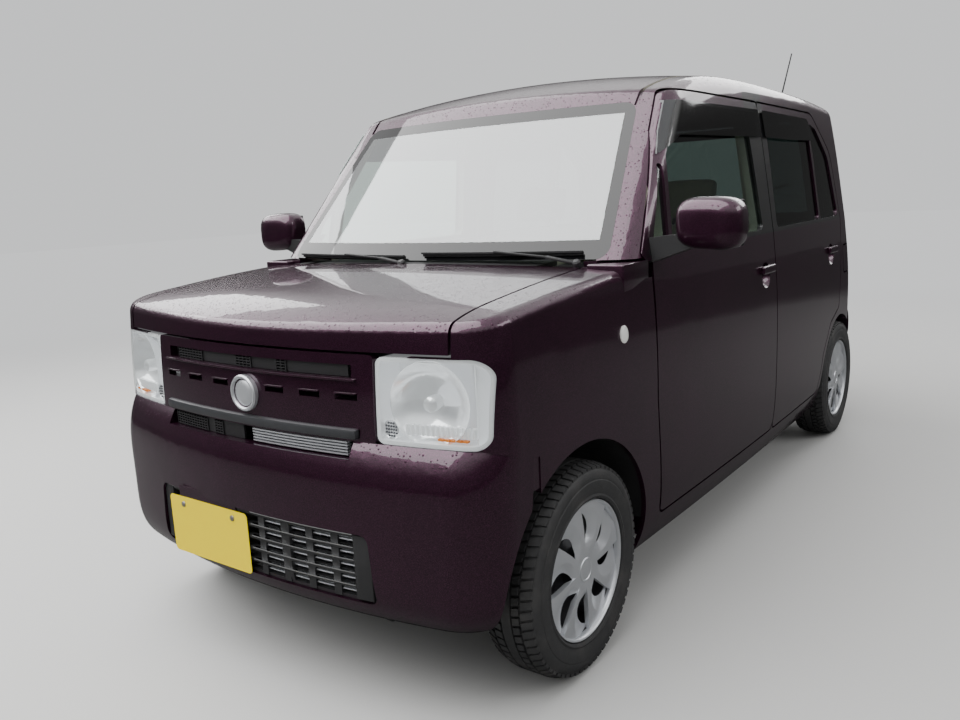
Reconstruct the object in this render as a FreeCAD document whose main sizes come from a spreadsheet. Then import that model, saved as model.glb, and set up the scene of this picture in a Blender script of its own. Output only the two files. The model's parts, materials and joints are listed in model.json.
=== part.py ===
import FreeCAD, Part
import Sketcher
import functools
import math
import os

# A four-door kei car in millimetres. Its front looks along -Y, its left side is +X, up is +Z.
# The origin is on the ground, in the middle of the car's box.

doc = FreeCAD.newDocument("kei_car")
sheet = doc.addObject("Spreadsheet::Sheet", "Sizes")

# Driving sizes: name, value in mm or degrees, what it is
DRIVING = [
    ("car_length", 3395, "nose to tail over the bumpers"),
    ("car_width", 1475, "widest place of the body, without mirrors"),
    ("roof_height", 1640, "ground to the top of the roof"),
    ("wheelbase", 2490, "front hub to rear hub"),
    ("front_overhang", 500, "nose to front hub"),
    ("track", 1290, "left tyre middle to right tyre middle"),
    ("tyre_radius", 278.5, "outer radius of the tyre, also the hub height"),
    ("tyre_width", 155, "section width of the tyre"),
    ("rim_radius", 183, "radius of the rim's bead seat"),
    ("belt_height", 1045, "where the body meets the windows"),
    ("sill_height", 200, "underside of the sills"),
    ("door_foot", 285, "lower edge of the doors"),
    ("door_wall", 85, "thickness of a door below the belt"),
    ("frame_wall", 45, "thickness of a door's window frame"),
    ("pillar_wall", 40, "depth of the pillars behind the doors"),
    ("roof_wall", 32, "thickness of the roof"),
    ("skin_wall", 14, "thickness of a front wing"),
    ("bonnet_wall", 24, "thickness of the bonnet with its frame"),
    ("bumper_wall", 28, "thickness of the bumper covers"),
    ("glass_wall", 5, "thickness of the glass"),
    ("visor_wall", 3, "thickness of the wind visors over the side windows"),
    ("shut_gap", 7, "gap round everything that opens"),
    ("seat_gap", 0.3, "gap between pieces that seat on each other"),
    ("front_arch", 340, "radius of a front wheel arch"),
    ("rear_arch", 312, "radius of a rear wheel arch"),
    ("door_middle", 262, "place of the shut line between the doors"),
    ("floor_wall", 30, "thickness of the floor"),
    ("roof_rail", 545, "half the distance between the two grooves in the roof"),
    ("bonnet_half", 590, "half the width of the bonnet"),
    ("hinge_depth", 38, "a front door's hinge axis, in from the skin"),
    ("rear_hinge_depth", 16, "a rear door's hinge axis, in from the skin"),
    ("rear_hinge_back", 40, "a rear door's hinge axis, behind the door's front edge"),
    ("pin_radius", 5, "radius of the hinge pins of bonnet, hatch and front doors"),
    ("rear_pin_radius", 3.5, "radius of a rear door's hinge pins"),
    ("kingpin_foot", 608, "lower ball joint, out from the middle"),
    ("kingpin_lean", 14, "lean of the steering axis in degrees"),
    ("liner_wall", 8, "thickness of the front wheel liners and the rear wheelhouses"),
    ("liner_gap", 6, "how far a liner stands outside its arch"),
    ("liner_in", 395, "inner side of the front wheel liners, out from the middle"),
    ("rail_in", 335, "inner side of the front rails, out from the middle"),
    ("plate_middle", -165, "middle of the front number plate, to the left of the car's middle"),
    ("plate_pitch", 210, "distance between the two holes of a number plate"),
    ("plate_hole", 3.5, "radius of a number plate's holes"),
    ("tow_eye", 14, "radius of the tow eye's hole"),
]
for row, (name, value, meaning) in enumerate(DRIVING, 1):
    sheet.set("A%d" % row, name)
    sheet.set("B%d" % row, str(value))
    sheet.set("C%d" % row, meaning)
    sheet.setAlias("B%d" % row, name)
doc.recompute()


def size(name):
    return float(sheet.get(name))


V = FreeCAD.Vector
nose_y = -size("car_length") / 2
tail_y = size("car_length") / 2
half_width = size("car_width") / 2
front_hub_y = nose_y + size("front_overhang")
rear_hub_y = front_hub_y + size("wheelbase")
hub_z = size("tyre_radius")
belt_z = size("belt_height")
sill_z = size("sill_height")
door_foot_z = size("door_foot")
roof_z = size("roof_height")
gap = size("shut_gap")
seat = size("seat_gap")

# Body section tables. The bow of a face is its rise over a chord of 600 either side.
BOW_CHORD = 600
SIDE_CHORD = 1450
SIDE_BOW = 26
SIDE_MIDDLE_Y = 60
FRONT_BOW = 70
SCREEN_BOW = 75
REAR_BOW = 26

# Lower body: height, tuck in from the widest place, set back from nose and tail, front and rear corner radius
LOWER_SECTIONS = [
    (sill_z, 46, 66, 70, 150, 190),
    (door_foot_z + 5, 16, 58, 52, 140, 200),
    (600, 0, 42, 32, 120, 205),
    (800, 3, 46, 36, 115, 210),
    (1000, 18, 60, 48, 110, 220),
    (belt_z, 22, 64, 52, 110, 222),
]
# Cabin: height, tuck, front set back, rear set back, front and rear corner radius
CABIN_SECTIONS = [
    (belt_z, 22, 712, 52, 85, 222),
    (1200, 44, 850, 70, 85, 215),
    (1350, 66, 983, 92, 85, 205),
    (1500, 91, 1116, 118, 85, 195),
    (1700, 130, 1294, 158, 85, 185),
]
# Bonnet and roof crowns: y, height in the middle; the edge lies lower by the crown's drop at CROWN_CHORD
CROWN_CHORD = 800
BONNET_DROP = 30
ROOF_DROP = 72
BONNET_CROWN = [
    (-1790, 790), (-1700, 902), (-1610, 964), (-1510, 996), (-1380, 1013), (-1200, 1029), (-990, 1042),
    (-760, 1052),
]
ROOF_CROWN = [
    (-1020, roof_z - 380), (-760, roof_z - 200), (-520, roof_z - 88), (-300, roof_z - 30), (-60, roof_z - 5),
    (300, roof_z), (900, roof_z - 10), (1400, roof_z - 36), (1760, roof_z - 66),
]


def circle_radius(chord, rise):
    return (chord * chord + rise * rise) / (2 * rise)


def circles_meet(a, ra, b, rb):
    """The crossing of two circles in one level plane that lies furthest out."""
    way = b - a
    span = way.Length
    along = (ra * ra - rb * rb + span * span) / (2 * span)
    off = math.sqrt(ra * ra - along * along)
    way.normalize()
    side = V(-way.y, way.x, 0)
    return max((a + way * along + side * off, a + way * along - side * off), key=lambda p: p.x)


def towards(a, b, far):
    way = b - a
    way.normalize()
    return a + way * far


def arc(a, b, c):
    return Part.Arc(a, b, c).toShape()


def line(a, b):
    return Part.LineSegment(a, b).toShape()


def flip(p):
    return V(-p.x, p.y, p.z)


def body_ring(z, half, front, rear, front_corner, rear_corner, front_bow):
    """A level section of the body: eight arcs, each tangent to the next."""
    side_r = circle_radius(SIDE_CHORD, SIDE_BOW)
    front_r = circle_radius(BOW_CHORD, front_bow)
    rear_r = circle_radius(BOW_CHORD, REAR_BOW)
    side_c = V(half - side_r, SIDE_MIDDLE_Y, z)
    front_c = V(0, front + front_r, z)
    rear_c = V(0, rear - rear_r, z)
    corner_a = circles_meet(side_c, side_r - front_corner, front_c, front_r - front_corner)
    corner_b = circles_meet(side_c, side_r - rear_corner, rear_c, rear_r - rear_corner)
    front_end = towards(front_c, corner_a, front_r)
    side_start = towards(side_c, corner_a, side_r)
    side_end = towards(side_c, corner_b, side_r)
    rear_start = towards(rear_c, corner_b, rear_r)
    middle_a = towards(corner_a, (front_end + side_start) / 2, front_corner)
    middle_b = towards(corner_b, (side_end + rear_start) / 2, rear_corner)
    return Part.Wire([
        arc(flip(front_end), V(0, front, z), front_end),
        arc(front_end, middle_a, side_start),
        arc(side_start, V(half, SIDE_MIDDLE_Y, z), side_end),
        arc(side_end, middle_b, rear_start),
        arc(rear_start, V(0, rear, z), flip(rear_start)),
        arc(flip(rear_start), flip(middle_b), flip(side_end)),
        arc(flip(side_end), V(-half, SIDE_MIDDLE_Y, z), flip(side_start)),
        arc(flip(side_start), flip(middle_a), flip(front_end)),
    ])


def ring_loft(sections, front_bow, inset, z_extra=()):
    """The solid through the section rows, all its faces moved in by the inset."""
    rings = []
    for z, tuck, back_front, back_rear, front_corner, rear_corner in list(sections) + list(z_extra):
        rings.append(body_ring(
            z, half_width - tuck - inset, nose_y + back_front + inset, tail_y - back_rear - inset,
            max(front_corner - inset, 20), max(rear_corner - inset, 20), front_bow))
    return Part.makeLoft(rings, True, False)


def crown_loft(rows, drop, inset, low_z):
    """What lies under an arched cover, down to low_z."""
    wires = []
    for y, z in rows:
        left = V(CROWN_CHORD, y, z - drop - inset)
        right = V(-CROWN_CHORD, y, z - drop - inset)
        wires.append(Part.Wire([
            arc(right, V(0, y, z - inset), left),
            line(left, V(CROWN_CHORD, y, low_z)),
            line(V(CROWN_CHORD, y, low_z), V(-CROWN_CHORD, y, low_z)),
            line(V(-CROWN_CHORD, y, low_z), right),
        ]))
    return Part.makeLoft(wires, True, False)


def rounded_wire(points, place):
    """A closed outline through (u, v, corner radius) rows, set in space by place."""
    corners = []
    for i, (u, v, radius) in enumerate(points):
        here = V(u, v, 0)
        before = V(points[i - 1][0], points[i - 1][1], 0)
        after = V(points[(i + 1) % len(points)][0], points[(i + 1) % len(points)][1], 0)
        to_before = (before - here).normalize()
        to_after = (after - here).normalize()
        half_angle = math.acos(max(-1, min(1, to_before.dot(to_after)))) / 2
        reach = radius / math.tan(half_angle)
        start = here + to_before * reach
        end = here + to_after * reach
        middle = here
        if radius:
            middle = here + (to_before + to_after).normalize() * (radius / math.sin(half_angle) - radius)
        corners.append((start, middle, end, radius))
    edges = []
    for i, (start, middle, end, radius) in enumerate(corners):
        if radius:
            edges.append(arc(place(start), place(middle), place(end)))
        following = corners[(i + 1) % len(corners)][0]
        if (following - end).Length > 0.01:
            edges.append(line(place(end), place(following)))
    return Part.Wire(edges)


def prism(points, view, start, end, grow=0):
    """An outline seen from the side (y, z), the front (x, z) or above (x, y), drawn out from start to end."""
    ways = {
        "side": (lambda p: V(start, p.x, p.y), V(end - start, 0, 0)),
        "front": (lambda p: V(p.x, start, p.y), V(0, end - start, 0)),
        "above": (lambda p: V(p.x, p.y, start), V(0, 0, end - start)),
    }
    place, way = ways[view]
    face = Part.Face(rounded_wire(points, place))
    if grow:
        face = face.makeOffset2D(grow)
    return face.extrude(way)


def block(x0, x1, y0, y1, z0, z1):
    return Part.makeBox(x1 - x0, y1 - y0, z1 - z0, V(x0, y0, z0))


def across(radius, y, z, x0, x1):
    """A cylinder along X."""
    return Part.makeCylinder(radius, x1 - x0, V(x0, y, z), V(1, 0, 0))


def mirrored(shape):
    return shape.mirror(V(0, 0, 0), V(1, 0, 0))


# Body solids that the panels are cut from
CROWN_FILLET = 60
WING_FILLET = 32
NOSE_BACK_Y = front_hub_y + 440
NOSE_TOP = [(1130,) + LOWER_SECTIONS[-1][1:]]


def crown_edges(solid, before_y):
    """The edges of the upward face, apart from its straight rear cut."""
    found = []
    for face in solid.Faces:
        u0, u1, v0, v1 = face.ParameterRange
        if face.normalAt((u0 + u1) / 2, (v0 + v1) / 2).z > 0.7:
            found += [e for e in face.Edges if e.BoundBox.YMax < before_y or e.BoundBox.YLength > 50]
    return found


@functools.lru_cache(None)
def cabin_solid(inset, roof_inset, fillet=0):
    solid = ring_loft(CABIN_SECTIONS, SCREEN_BOW, inset)
    solid = solid.common(crown_loft(ROOF_CROWN, ROOF_DROP, roof_inset, belt_z - 100))
    if fillet:
        solid = solid.makeFillet(fillet, crown_edges(solid, tail_y))
    return solid


@functools.lru_cache(None)
def nose_solid(inset, fillet=0):
    solid = ring_loft(LOWER_SECTIONS[:-1], FRONT_BOW, inset, NOSE_TOP)
    solid = solid.common(crown_loft(BONNET_CROWN, BONNET_DROP, inset, 100))
    solid = solid.common(block(-half_width, half_width, nose_y, NOSE_BACK_Y, 100, 1200))
    if fillet:
        solid = solid.makeFillet(fillet, crown_edges(solid, NOSE_BACK_Y - 10))
    return solid


door_wall = size("door_wall")
frame_wall = size("frame_wall")
pillar_wall = size("pillar_wall")
skin = size("skin_wall")
cabin_outer = cabin_solid(0, 0, CROWN_FILLET)
cabin_frame_inner = cabin_solid(frame_wall, size("roof_wall"))
cabin_pillar_inner = cabin_solid(frame_wall + pillar_wall, size("roof_wall"))
lower_outer = ring_loft(LOWER_SECTIONS, FRONT_BOW, 0)
lower_door_inner = ring_loft(LOWER_SECTIONS, FRONT_BOW, door_wall)
lower_pillar_inner = ring_loft(LOWER_SECTIONS, FRONT_BOW, door_wall + pillar_wall + gap)
# The pillars start behind the doors; beside the windows they leave room for a rear door's turning edge
FRAME_TURN = 12
pillar_start = ring_loft(LOWER_SECTIONS, FRONT_BOW, door_wall + gap)
pillar_start = pillar_start.fuse(cabin_solid(frame_wall + gap + FRAME_TURN, size("roof_wall")))
nose_outer = nose_solid(0, WING_FILLET)
nose_skin_inner = nose_solid(skin)
upper_shell = cabin_outer.cut(cabin_frame_inner)
lower_shell = lower_outer.cut(lower_door_inner)

# Side outlines, seen from the side: y, z, corner radius
A_FOOT_Y = front_hub_y + 340
FRAME_FOOT_Y = A_FOOT_Y + 20
FRONT_DOOR_EDGE_Y = front_hub_y + 404
DOOR_TOP_Z = 1521
GLASS_TOP_Z = 1480
GLASS_FOOT_Z = 1062
door_y = size("door_middle")
arch_edge_radius = size("rear_arch") + 45
FRONT_DOOR = [
    (FRONT_DOOR_EDGE_Y + 34, door_foot_z, 30),
    (FRONT_DOOR_EDGE_Y, 640, 0),
    (FRONT_DOOR_EDGE_Y + 6, 1000, 12),
    (FRAME_FOOT_Y, 1053, 10),
    (-584, 1399, 120),
    (-482, DOOR_TOP_Z, 40),
    (door_y - gap / 2, DOOR_TOP_Z, 14),
    (door_y - gap / 2, door_foot_z, 30),
]
# The rear door's edge goes round the wheel arch, by angles from straight back
ARCH_EDGE_ANGLES = (95, 122, 150)
REAR_DOOR = [
    (door_y + gap / 2, door_foot_z, 30),
    (door_y + gap / 2, DOOR_TOP_Z, 14),
    (1010, 1516, 130),
    (1262, 1350, 120),
    (1330, 1040, 60),
]
for angle in ARCH_EDGE_ANGLES:
    way = math.radians(angle)
    edge_y = rear_hub_y + arch_edge_radius * math.cos(way)
    REAR_DOOR.append((edge_y, hub_z + arch_edge_radius * math.sin(way), 40))
REAR_DOOR.append((930, door_foot_z, 30))
# Each door has a main pane and a small fixed one
FRONT_PANES = [
    [(-778, GLASS_FOOT_Z, 12), (-628, 1334, 8), (-664, GLASS_FOOT_Z, 10)],
    [(-640, GLASS_FOOT_Z, 12), (-606, 1318, 60), (-474, GLASS_TOP_Z, 40), (door_y - 142, GLASS_TOP_Z, 24),
     (door_y - 112, GLASS_FOOT_Z, 24)],
]
REAR_PANES = [
    [(door_y + 52, GLASS_FOOT_Z, 24), (door_y + 66, GLASS_TOP_Z, 24), (918, GLASS_TOP_Z - 2, 20),
     (930, GLASS_FOOT_Z, 20)],
    [(958, GLASS_FOOT_Z, 16), (946, GLASS_TOP_Z - 4, 16), (1050, 1456, 60), (1212, 1330, 100),
     (1288, GLASS_FOOT_Z, 30)],
]
SIDE_REACH = half_width + 60
SIDE_START = size("roof_rail") + 3


def side_cut(points, grow=0):
    return prism(points, "side", SIDE_START, SIDE_REACH, grow)


front_arch_cut = across(size("front_arch"), front_hub_y, hub_z, 0, 900)
rear_arch_cut = across(size("rear_arch"), rear_hub_y, hub_z, 0, 900)
liner_wall = size("liner_wall")
liner_in_x = size("liner_in")
liner_r = size("front_arch") + size("liner_gap")
house_r = size("rear_arch") + size("liner_gap")
house_in_x = size("track") / 2 - size("tyre_width") / 2 - 28
liner_room = across(liner_r + liner_wall + seat, front_hub_y, hub_z, liner_in_x - seat, 900)
house_room = across(house_r + liner_wall + seat, rear_hub_y, hub_z, house_in_x - liner_wall - seat, 900)
shell = lower_shell.fuse(upper_shell)


def door_panel(outline, panes):
    panel = shell.common(side_cut(outline))
    return panel.cut([side_cut(pane) for pane in panes]).removeSplitter()


doors = {"front": door_panel(FRONT_DOOR, FRONT_PANES), "rear": door_panel(REAR_DOOR, REAR_PANES)}

hatch_outline = [
    (-548, 590, 40), (548, 590, 40), (588, 1040, 60), (535, 1520, 50), (-535, 1520, 50), (-588, 1040, 60),
]
hatch_pane = [(-500, 1070, 50), (500, 1070, 50), (470, 1470, 60), (-470, 1470, 60)]
SCREEN = [(-632, 1047, 30), (632, 1047, 30), (546, 1492, 50), (-546, 1492, 50)]
TAIL_LAMP = [(598, 690, 24), (760, 690, 24), (760, 1030, 24), (606, 1030, 24)]
REAR_SPLIT_Y = 1300
TAIL_LAMP_Y = 1545


def front_cut(points, y0, y1, grow=0):
    return prism(points, "front", y0, y1, grow)


screen_cut = front_cut(SCREEN, nose_y, -380)
hatch_cut = front_cut(hatch_outline, REAR_SPLIT_Y, tail_y + 60)
hatch_clear = front_cut(hatch_outline, REAR_SPLIT_Y, tail_y + 60, gap)

# Rear bumper: its own loft, the side following the body
REAR_BUMPER_TOP = 585
REAR_BUMPER_SECTIONS = [
    (240, 34, 66, 40, 150, 190),
    (285, 14, 58, 10, 140, 200),
    (360, 5, 52, 1, 130, 200),
    (470, 1, 48, 0, 120, 200),
    (550, 0, 44, 8, 120, 200),
    (REAR_BUMPER_TOP, 2, 44, 24, 120, 200),
]
FRONT_BUMPER_TOP = 688
FRONT_BUMPER_SECTIONS = [
    (245, 40, 54, 66, 150, 190),
    (300, 14, 10, 58, 150, 190),
    (420, 4, 0, 50, 150, 190),
    (560, 0, 2, 44, 150, 200),
    (640, 1, 16, 44, 145, 200),
    (FRONT_BUMPER_TOP, 2, 42, 42, 130, 200),
]
REAR_BUMPER_SIDE = [(1560, 200, 0), (1800, 200, 0), (1800, REAR_BUMPER_TOP, 0), (1500, REAR_BUMPER_TOP, 0)]
WING_SPLIT = [(-1800, 200, 0), (-1470, 200, 0), (-1425, 640, 0), (-1560, FRONT_BUMPER_TOP, 0),
              (-1800, FRONT_BUMPER_TOP, 0)]
bumper_wall = size("bumper_wall")
rear_bumper_region = prism(REAR_BUMPER_SIDE, "side", -900, 900)
front_bumper_region = prism(WING_SPLIT, "side", -900, 900)
rear_bumper = ring_loft(REAR_BUMPER_SECTIONS, FRONT_BOW, 0)
rear_bumper = rear_bumper.cut(ring_loft(REAR_BUMPER_SECTIONS, FRONT_BOW, bumper_wall))
rear_bumper = rear_bumper.common(rear_bumper_region).cut(rear_arch_cut).cut(mirrored(rear_arch_cut))
front_bumper = ring_loft(FRONT_BUMPER_SECTIONS, FRONT_BOW, 0)
front_bumper = front_bumper.cut(ring_loft(FRONT_BUMPER_SECTIONS, FRONT_BOW, bumper_wall))
front_bumper = front_bumper.common(front_bumper_region).cut(front_arch_cut).cut(mirrored(front_arch_cut))

# Side of the body: sill, pillars, roof rail and rear quarter
half_space = block(0, 900, -1800, 1800, 0, 1800)
roof_rail = size("roof_rail")
FIREWALL_Y = -880
roof_zone = block(-roof_rail, roof_rail, -700, 1800, 1480, 1800)
DITCH = 7
ditch = block(roof_rail - DITCH, roof_rail + DITCH, -640, 1800, 1480, 1800)
ditch = ditch.cut(cabin_solid(DITCH + 3, DITCH + 3))
REBATE = 30
B_POST = [(door_y - 56, sill_z, 0), (door_y - 36, 1600, 0), (door_y + 60, 1600, 0), (door_y + 80, sill_z, 0)]
HINGE_POST_Y = -930
front_end = block(0, 900, -1800, HINGE_POST_Y, 0, belt_z).fuse(
    block(0, 900, HINGE_POST_Y, FRONT_DOOR_EDGE_Y + 34, 0, belt_z).cut(pillar_start))
screen_seat = block(0, 600, -1100, FIREWALL_Y + 180, belt_z - 1, belt_z + 3)
door_holes = []
for outline in (FRONT_DOOR, REAR_DOOR):
    door_holes.append(side_cut(outline, gap).cut(pillar_start))
    door_holes.append(side_cut(outline, -REBATE).cut(prism(B_POST, "side", 0, 900)))
# Higher up the inner layer of the windscreen pillar would run out to nothing, so it ends in a level cut
PILLAR_LAYER_TOP = 1120
layer_end = block(0, 900, A_FOOT_Y - 40, -560, PILLAR_LAYER_TOP, 1420)
door_holes.append(side_cut(FRONT_DOOR, gap).common(layer_end))
body_shell = lower_outer.common(half_space).cut(lower_pillar_inner)
body_shell = body_shell.fuse(cabin_outer.common(half_space).cut(cabin_pillar_inner))
side = body_shell.cut(door_holes + [
    front_end, screen_seat, roof_zone, screen_cut, hatch_clear, ditch, liner_room,
    front_cut(TAIL_LAMP, TAIL_LAMP_Y, tail_y + 60), rear_bumper_region, rear_arch_cut])
# The rear wheelhouse: a drum open outwards, its inner wall open for the axle
HOUSE_DEPTH = 60
AXLE_CLEAR_Z = hub_z + 66
wheelhouse = across(house_r + liner_wall, rear_hub_y, hub_z, house_in_x - liner_wall, 900)
wheelhouse = wheelhouse.cut(across(house_r, rear_hub_y, hub_z, house_in_x, 900))
wheelhouse = wheelhouse.cut(block(0, house_in_x, 0, 1800, 0, AXLE_CLEAR_Z))
wheelhouse = wheelhouse.common(ring_loft(LOWER_SECTIONS, FRONT_BOW, HOUSE_DEPTH))

# Front end: bonnet, wings, grille panel, lamps
bonnet_half = size("bonnet_half")
BONNET_AXIS = (-900, 1008)
BONNET_HINGE_X = 470
BONNET_FRONT_Z = 899
BONNET_REAR_Y = nose_y + 712 - 34
LAMP_Z0, LAMP_Z1 = FRONT_BUMPER_TOP + seat, 890
LAMP_IN, LAMP_OUT = 413, 682
LAMP = [(LAMP_IN, LAMP_Z0, 20), (LAMP_OUT, LAMP_Z0, 34), (LAMP_OUT + 6, LAMP_Z1, 46), (LAMP_IN, LAMP_Z1, 20)]
GRILLE_HALF = LAMP_IN - 3
GRILLE = [(-GRILLE_HALF, LAMP_Z0, 4), (GRILLE_HALF, LAMP_Z0, 4), (GRILLE_HALF, 893, 12), (-GRILLE_HALF, 893, 12)]
BONNET_PLAN = [
    (-bonnet_half - 12, nose_y, 0), (bonnet_half + 12, nose_y, 0),
    (bonnet_half - 15, BONNET_REAR_Y + 72, 20), (-bonnet_half + 15, BONNET_REAR_Y + 72, 20),
]
screen_foot = circle_radius(BOW_CHORD, SCREEN_BOW)
behind_bonnet = Part.makeCylinder(screen_foot, 400, V(0, BONNET_REAR_Y + screen_foot, 900))
bonnet_zone = prism(BONNET_PLAN, "above", BONNET_FRONT_Z, 1200).cut(behind_bonnet)
bonnet_hole = prism(BONNET_PLAN, "above", BONNET_FRONT_Z - gap, 1200, gap)
bonnet_hole = bonnet_hole.cut(Part.makeCylinder(screen_foot - gap, 400, V(0, BONNET_REAR_Y + screen_foot, 880)))
bonnet = nose_outer.cut(nose_solid(size("bonnet_wall"))).common(bonnet_zone)
nose_skin = nose_outer.cut(nose_skin_inner)
lamp_cut = front_cut(LAMP, nose_y, -1380)
grille_zone = front_cut([(u, v, 0) for u, v, r in GRILLE], nose_y, -1500)
cowl_front = Part.makeCylinder(screen_foot - gap, 300, V(0, BONNET_REAR_Y + screen_foot, 990))
WING_REAR_TOP = belt_z - 18
front_keep = block(0, 900, -1800, FRONT_DOOR_EDGE_Y + 40, sill_z, 1100)
wing = nose_skin.common(front_keep).cut([
    bonnet_hole, lamp_cut, grille_zone, side_cut(FRONT_DOOR, gap), front_arch_cut, cowl_front,
    block(-500, 500, -1800, -900, 0, 1200), front_bumper_region, block(0, 900, -1800, -1400, 0, 640),
    block(0, 900, A_FOOT_Y - 80, 0, WING_REAR_TOP, 1200)])
LENS_WALL = 4
lens = nose_outer.cut(nose_solid(LENS_WALL)).common(front_cut(LAMP, nose_y, -1380, -seat)).common(half_space)
lamp_face = nose_solid(LENS_WALL + seat)
lamp_back = lamp_face.cut(nose_solid(95)).common(front_cut(LAMP, nose_y, -1400, -seat)).common(half_space)
lamp_house = lamp_back.cut(lamp_face.cut(nose_solid(75)).common(front_cut(LAMP, nose_y, -1400, -10)))
# Grille panel: an upper slot, a row of short dashes, a dark bar's groove along its foot, and a bare round boss
PANEL_WALL = 22
SLOT_HALF, SLOT_Z0, SLOT_Z1 = 350, 838, 868
DASH_PLACES = (105, 222, 333)
BAR_HALF, BAR_Z0, BAR_Z1, BAR_DEEP = 368, 697, 718, 6
BOSS_Z, BOSS_R = 775, 46
panel_outer = nose_solid(0)
grille_panel = panel_outer.cut(nose_solid(PANEL_WALL)).common(front_cut(GRILLE, nose_y, -1500))
panel_cuts = [block(-SLOT_HALF, SLOT_HALF, nose_y, -1500, SLOT_Z0, SLOT_Z1)]
for x in DASH_PLACES:
    for way in (-1, 1):
        panel_cuts.append(block(way * x - 32, way * x + 32, nose_y, -1500, 785, 800))
panel_cuts.append(block(-BAR_HALF, BAR_HALF, nose_y, -1500, BAR_Z0, BAR_Z1).cut(nose_solid(BAR_DEEP)))
boss = Part.makeCylinder(BOSS_R, 60, V(0, nose_y + 38, BOSS_Z), V(0, 1, 0)).cut(nose_solid(1))
grille_panel = grille_panel.cut(panel_cuts).fuse(boss)
windscreen = cabin_outer.cut(cabin_solid(size("glass_wall"), size("glass_wall")))
windscreen = windscreen.common(front_cut(SCREEN, nose_y, -380, -seat))

# Cowl, roof and hatch
cowl_zone = block(-590, 590, BONNET_REAR_Y - 20, -700, 990, 1120).cut(bonnet_hole)
cowl = nose_skin.common(cowl_zone).cut(cabin_solid(0, 0, CROWN_FILLET))
cowl = cowl.common(Part.makeCylinder(screen_foot - gap, 300, V(0, BONNET_REAR_Y + screen_foot, 980)))
cowl = cowl.common(block(-590, 590, -1100, A_FOOT_Y, 900, 1200))
# Its rear part leaves room for the bonnet's hinges and for the hinge posts
for x0, x1, y0 in ((BONNET_HINGE_X - 26, BONNET_HINGE_X + 26, -975), (564, 600, HINGE_POST_Y - gap)):
    cowl = cowl.cut([block(x0, x1, y0, A_FOOT_Y, 900, 1200), block(-x1, -x0, y0, A_FOOT_Y, 900, 1200)])
roof = upper_shell.common(roof_zone).cut([screen_cut, hatch_clear, ditch, mirrored(ditch)])
hatch = shell.common(hatch_cut).cut(front_cut(hatch_pane, REAR_SPLIT_Y, tail_y + 60))
hatch = hatch.cut(block(-900, 900, REAR_SPLIT_Y - 20, 1430, 0, 1500))
# The rear number plate's flat place with its two blind holes
PLATE_SEAT_Y = 1650
REAR_PLATE_HOLE_Z = 880
plate_half = size("plate_pitch") / 2
hatch = hatch.cut(block(-178, 178, PLATE_SEAT_Y, tail_y, 735, 905))
for x in (-plate_half, plate_half):
    plate_hole_foot = V(x, PLATE_SEAT_Y - 14, REAR_PLATE_HOLE_Z)
    hatch = hatch.cut(Part.makeCylinder(size("plate_hole"), 30, plate_hole_foot, V(0, 1, 0)))
glass_outer = cabin_solid(8, 8)
glass_inner = cabin_solid(8 + size("glass_wall"), 8 + size("glass_wall"))
glass_ring = glass_outer.cut(glass_inner)
hatch_glass = glass_ring.common(front_cut(hatch_pane, 1430, tail_y + 60, -seat))
panes = {
    "front": [glass_ring.common(side_cut(pane, -seat)) for pane in FRONT_PANES],
    "rear": [glass_ring.common(side_cut(pane, -seat)) for pane in REAR_PANES],
}
tail_cut = front_cut(TAIL_LAMP, TAIL_LAMP_Y, tail_y + 60, -seat)
tail_lamp = lower_outer.cut(ring_loft(LOWER_SECTIONS, FRONT_BOW, 60)).common(tail_cut).common(half_space)

# Hinges: a gooseneck strap on what opens, turning on a pin between two lugs of what stays
STRAP = 8
KNUCKLE = 11
STRAP_TALL = 30
LUG = 6
pin = size("pin_radius")
depth = size("hinge_depth")
LUG_ROOM = 2 * LUG + 12
DOOR_HINGE_DEPTH = 104
HINGE_ROOM_DEPTH = 116
FRONT_POST_BITE = 36
POST_BITE = 20
TURN_SPACE = 6
FRONT_AXIS_Y = A_FOOT_Y - 8
FRONT_HINGES = (600, 830)
REAR_AXIS_Y = door_y + gap / 2 + size("rear_hinge_back")
REAR_HINGES = (520, 800)
AXIS_Z = 700


def skin_x(y, z):
    """How far out the body's skin lies at a place on its side."""
    probe = Part.makeLine(V(SIDE_START, y, z), V(SIDE_REACH, y, z)).common(lower_outer)
    return probe.BoundBox.XMax


def lugs(axis_x, axis_y, z, post_x, pin_r, lug_r):
    """A pin with its two lugs, which reach in to the post."""
    low = z - STRAP_TALL / 2
    parts = [Part.makeCylinder(pin_r, STRAP_TALL + 2 * LUG + 2, V(axis_x, axis_y, low - LUG - 1))]
    for z0 in (low - LUG - 1, low + STRAP_TALL + 1):
        parts.append(block(post_x, axis_x, axis_y - lug_r + 1, axis_y + lug_r - 1, z0, z0 + LUG))
        parts.append(Part.makeCylinder(lug_r, LUG, V(axis_x, axis_y, z0)))
    return parts[0].fuse(parts[1:])


def strap(axis_x, axis_y, z, pin_r, knuckle_r, bars):
    """A strap of plain bars (x0, x1, y0, y1) from the door's wall to its knuckle on the pin."""
    low = z - STRAP_TALL / 2
    parts = [block(*bar, low, low + STRAP_TALL) for bar in bars]
    whole = parts[0].fuse(parts[1:] + [Part.makeCylinder(knuckle_r, STRAP_TALL, V(axis_x, axis_y, low))])
    return whole.cut(Part.makeCylinder(pin_r + seat, STRAP_TALL, V(axis_x, axis_y, low)))


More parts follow.
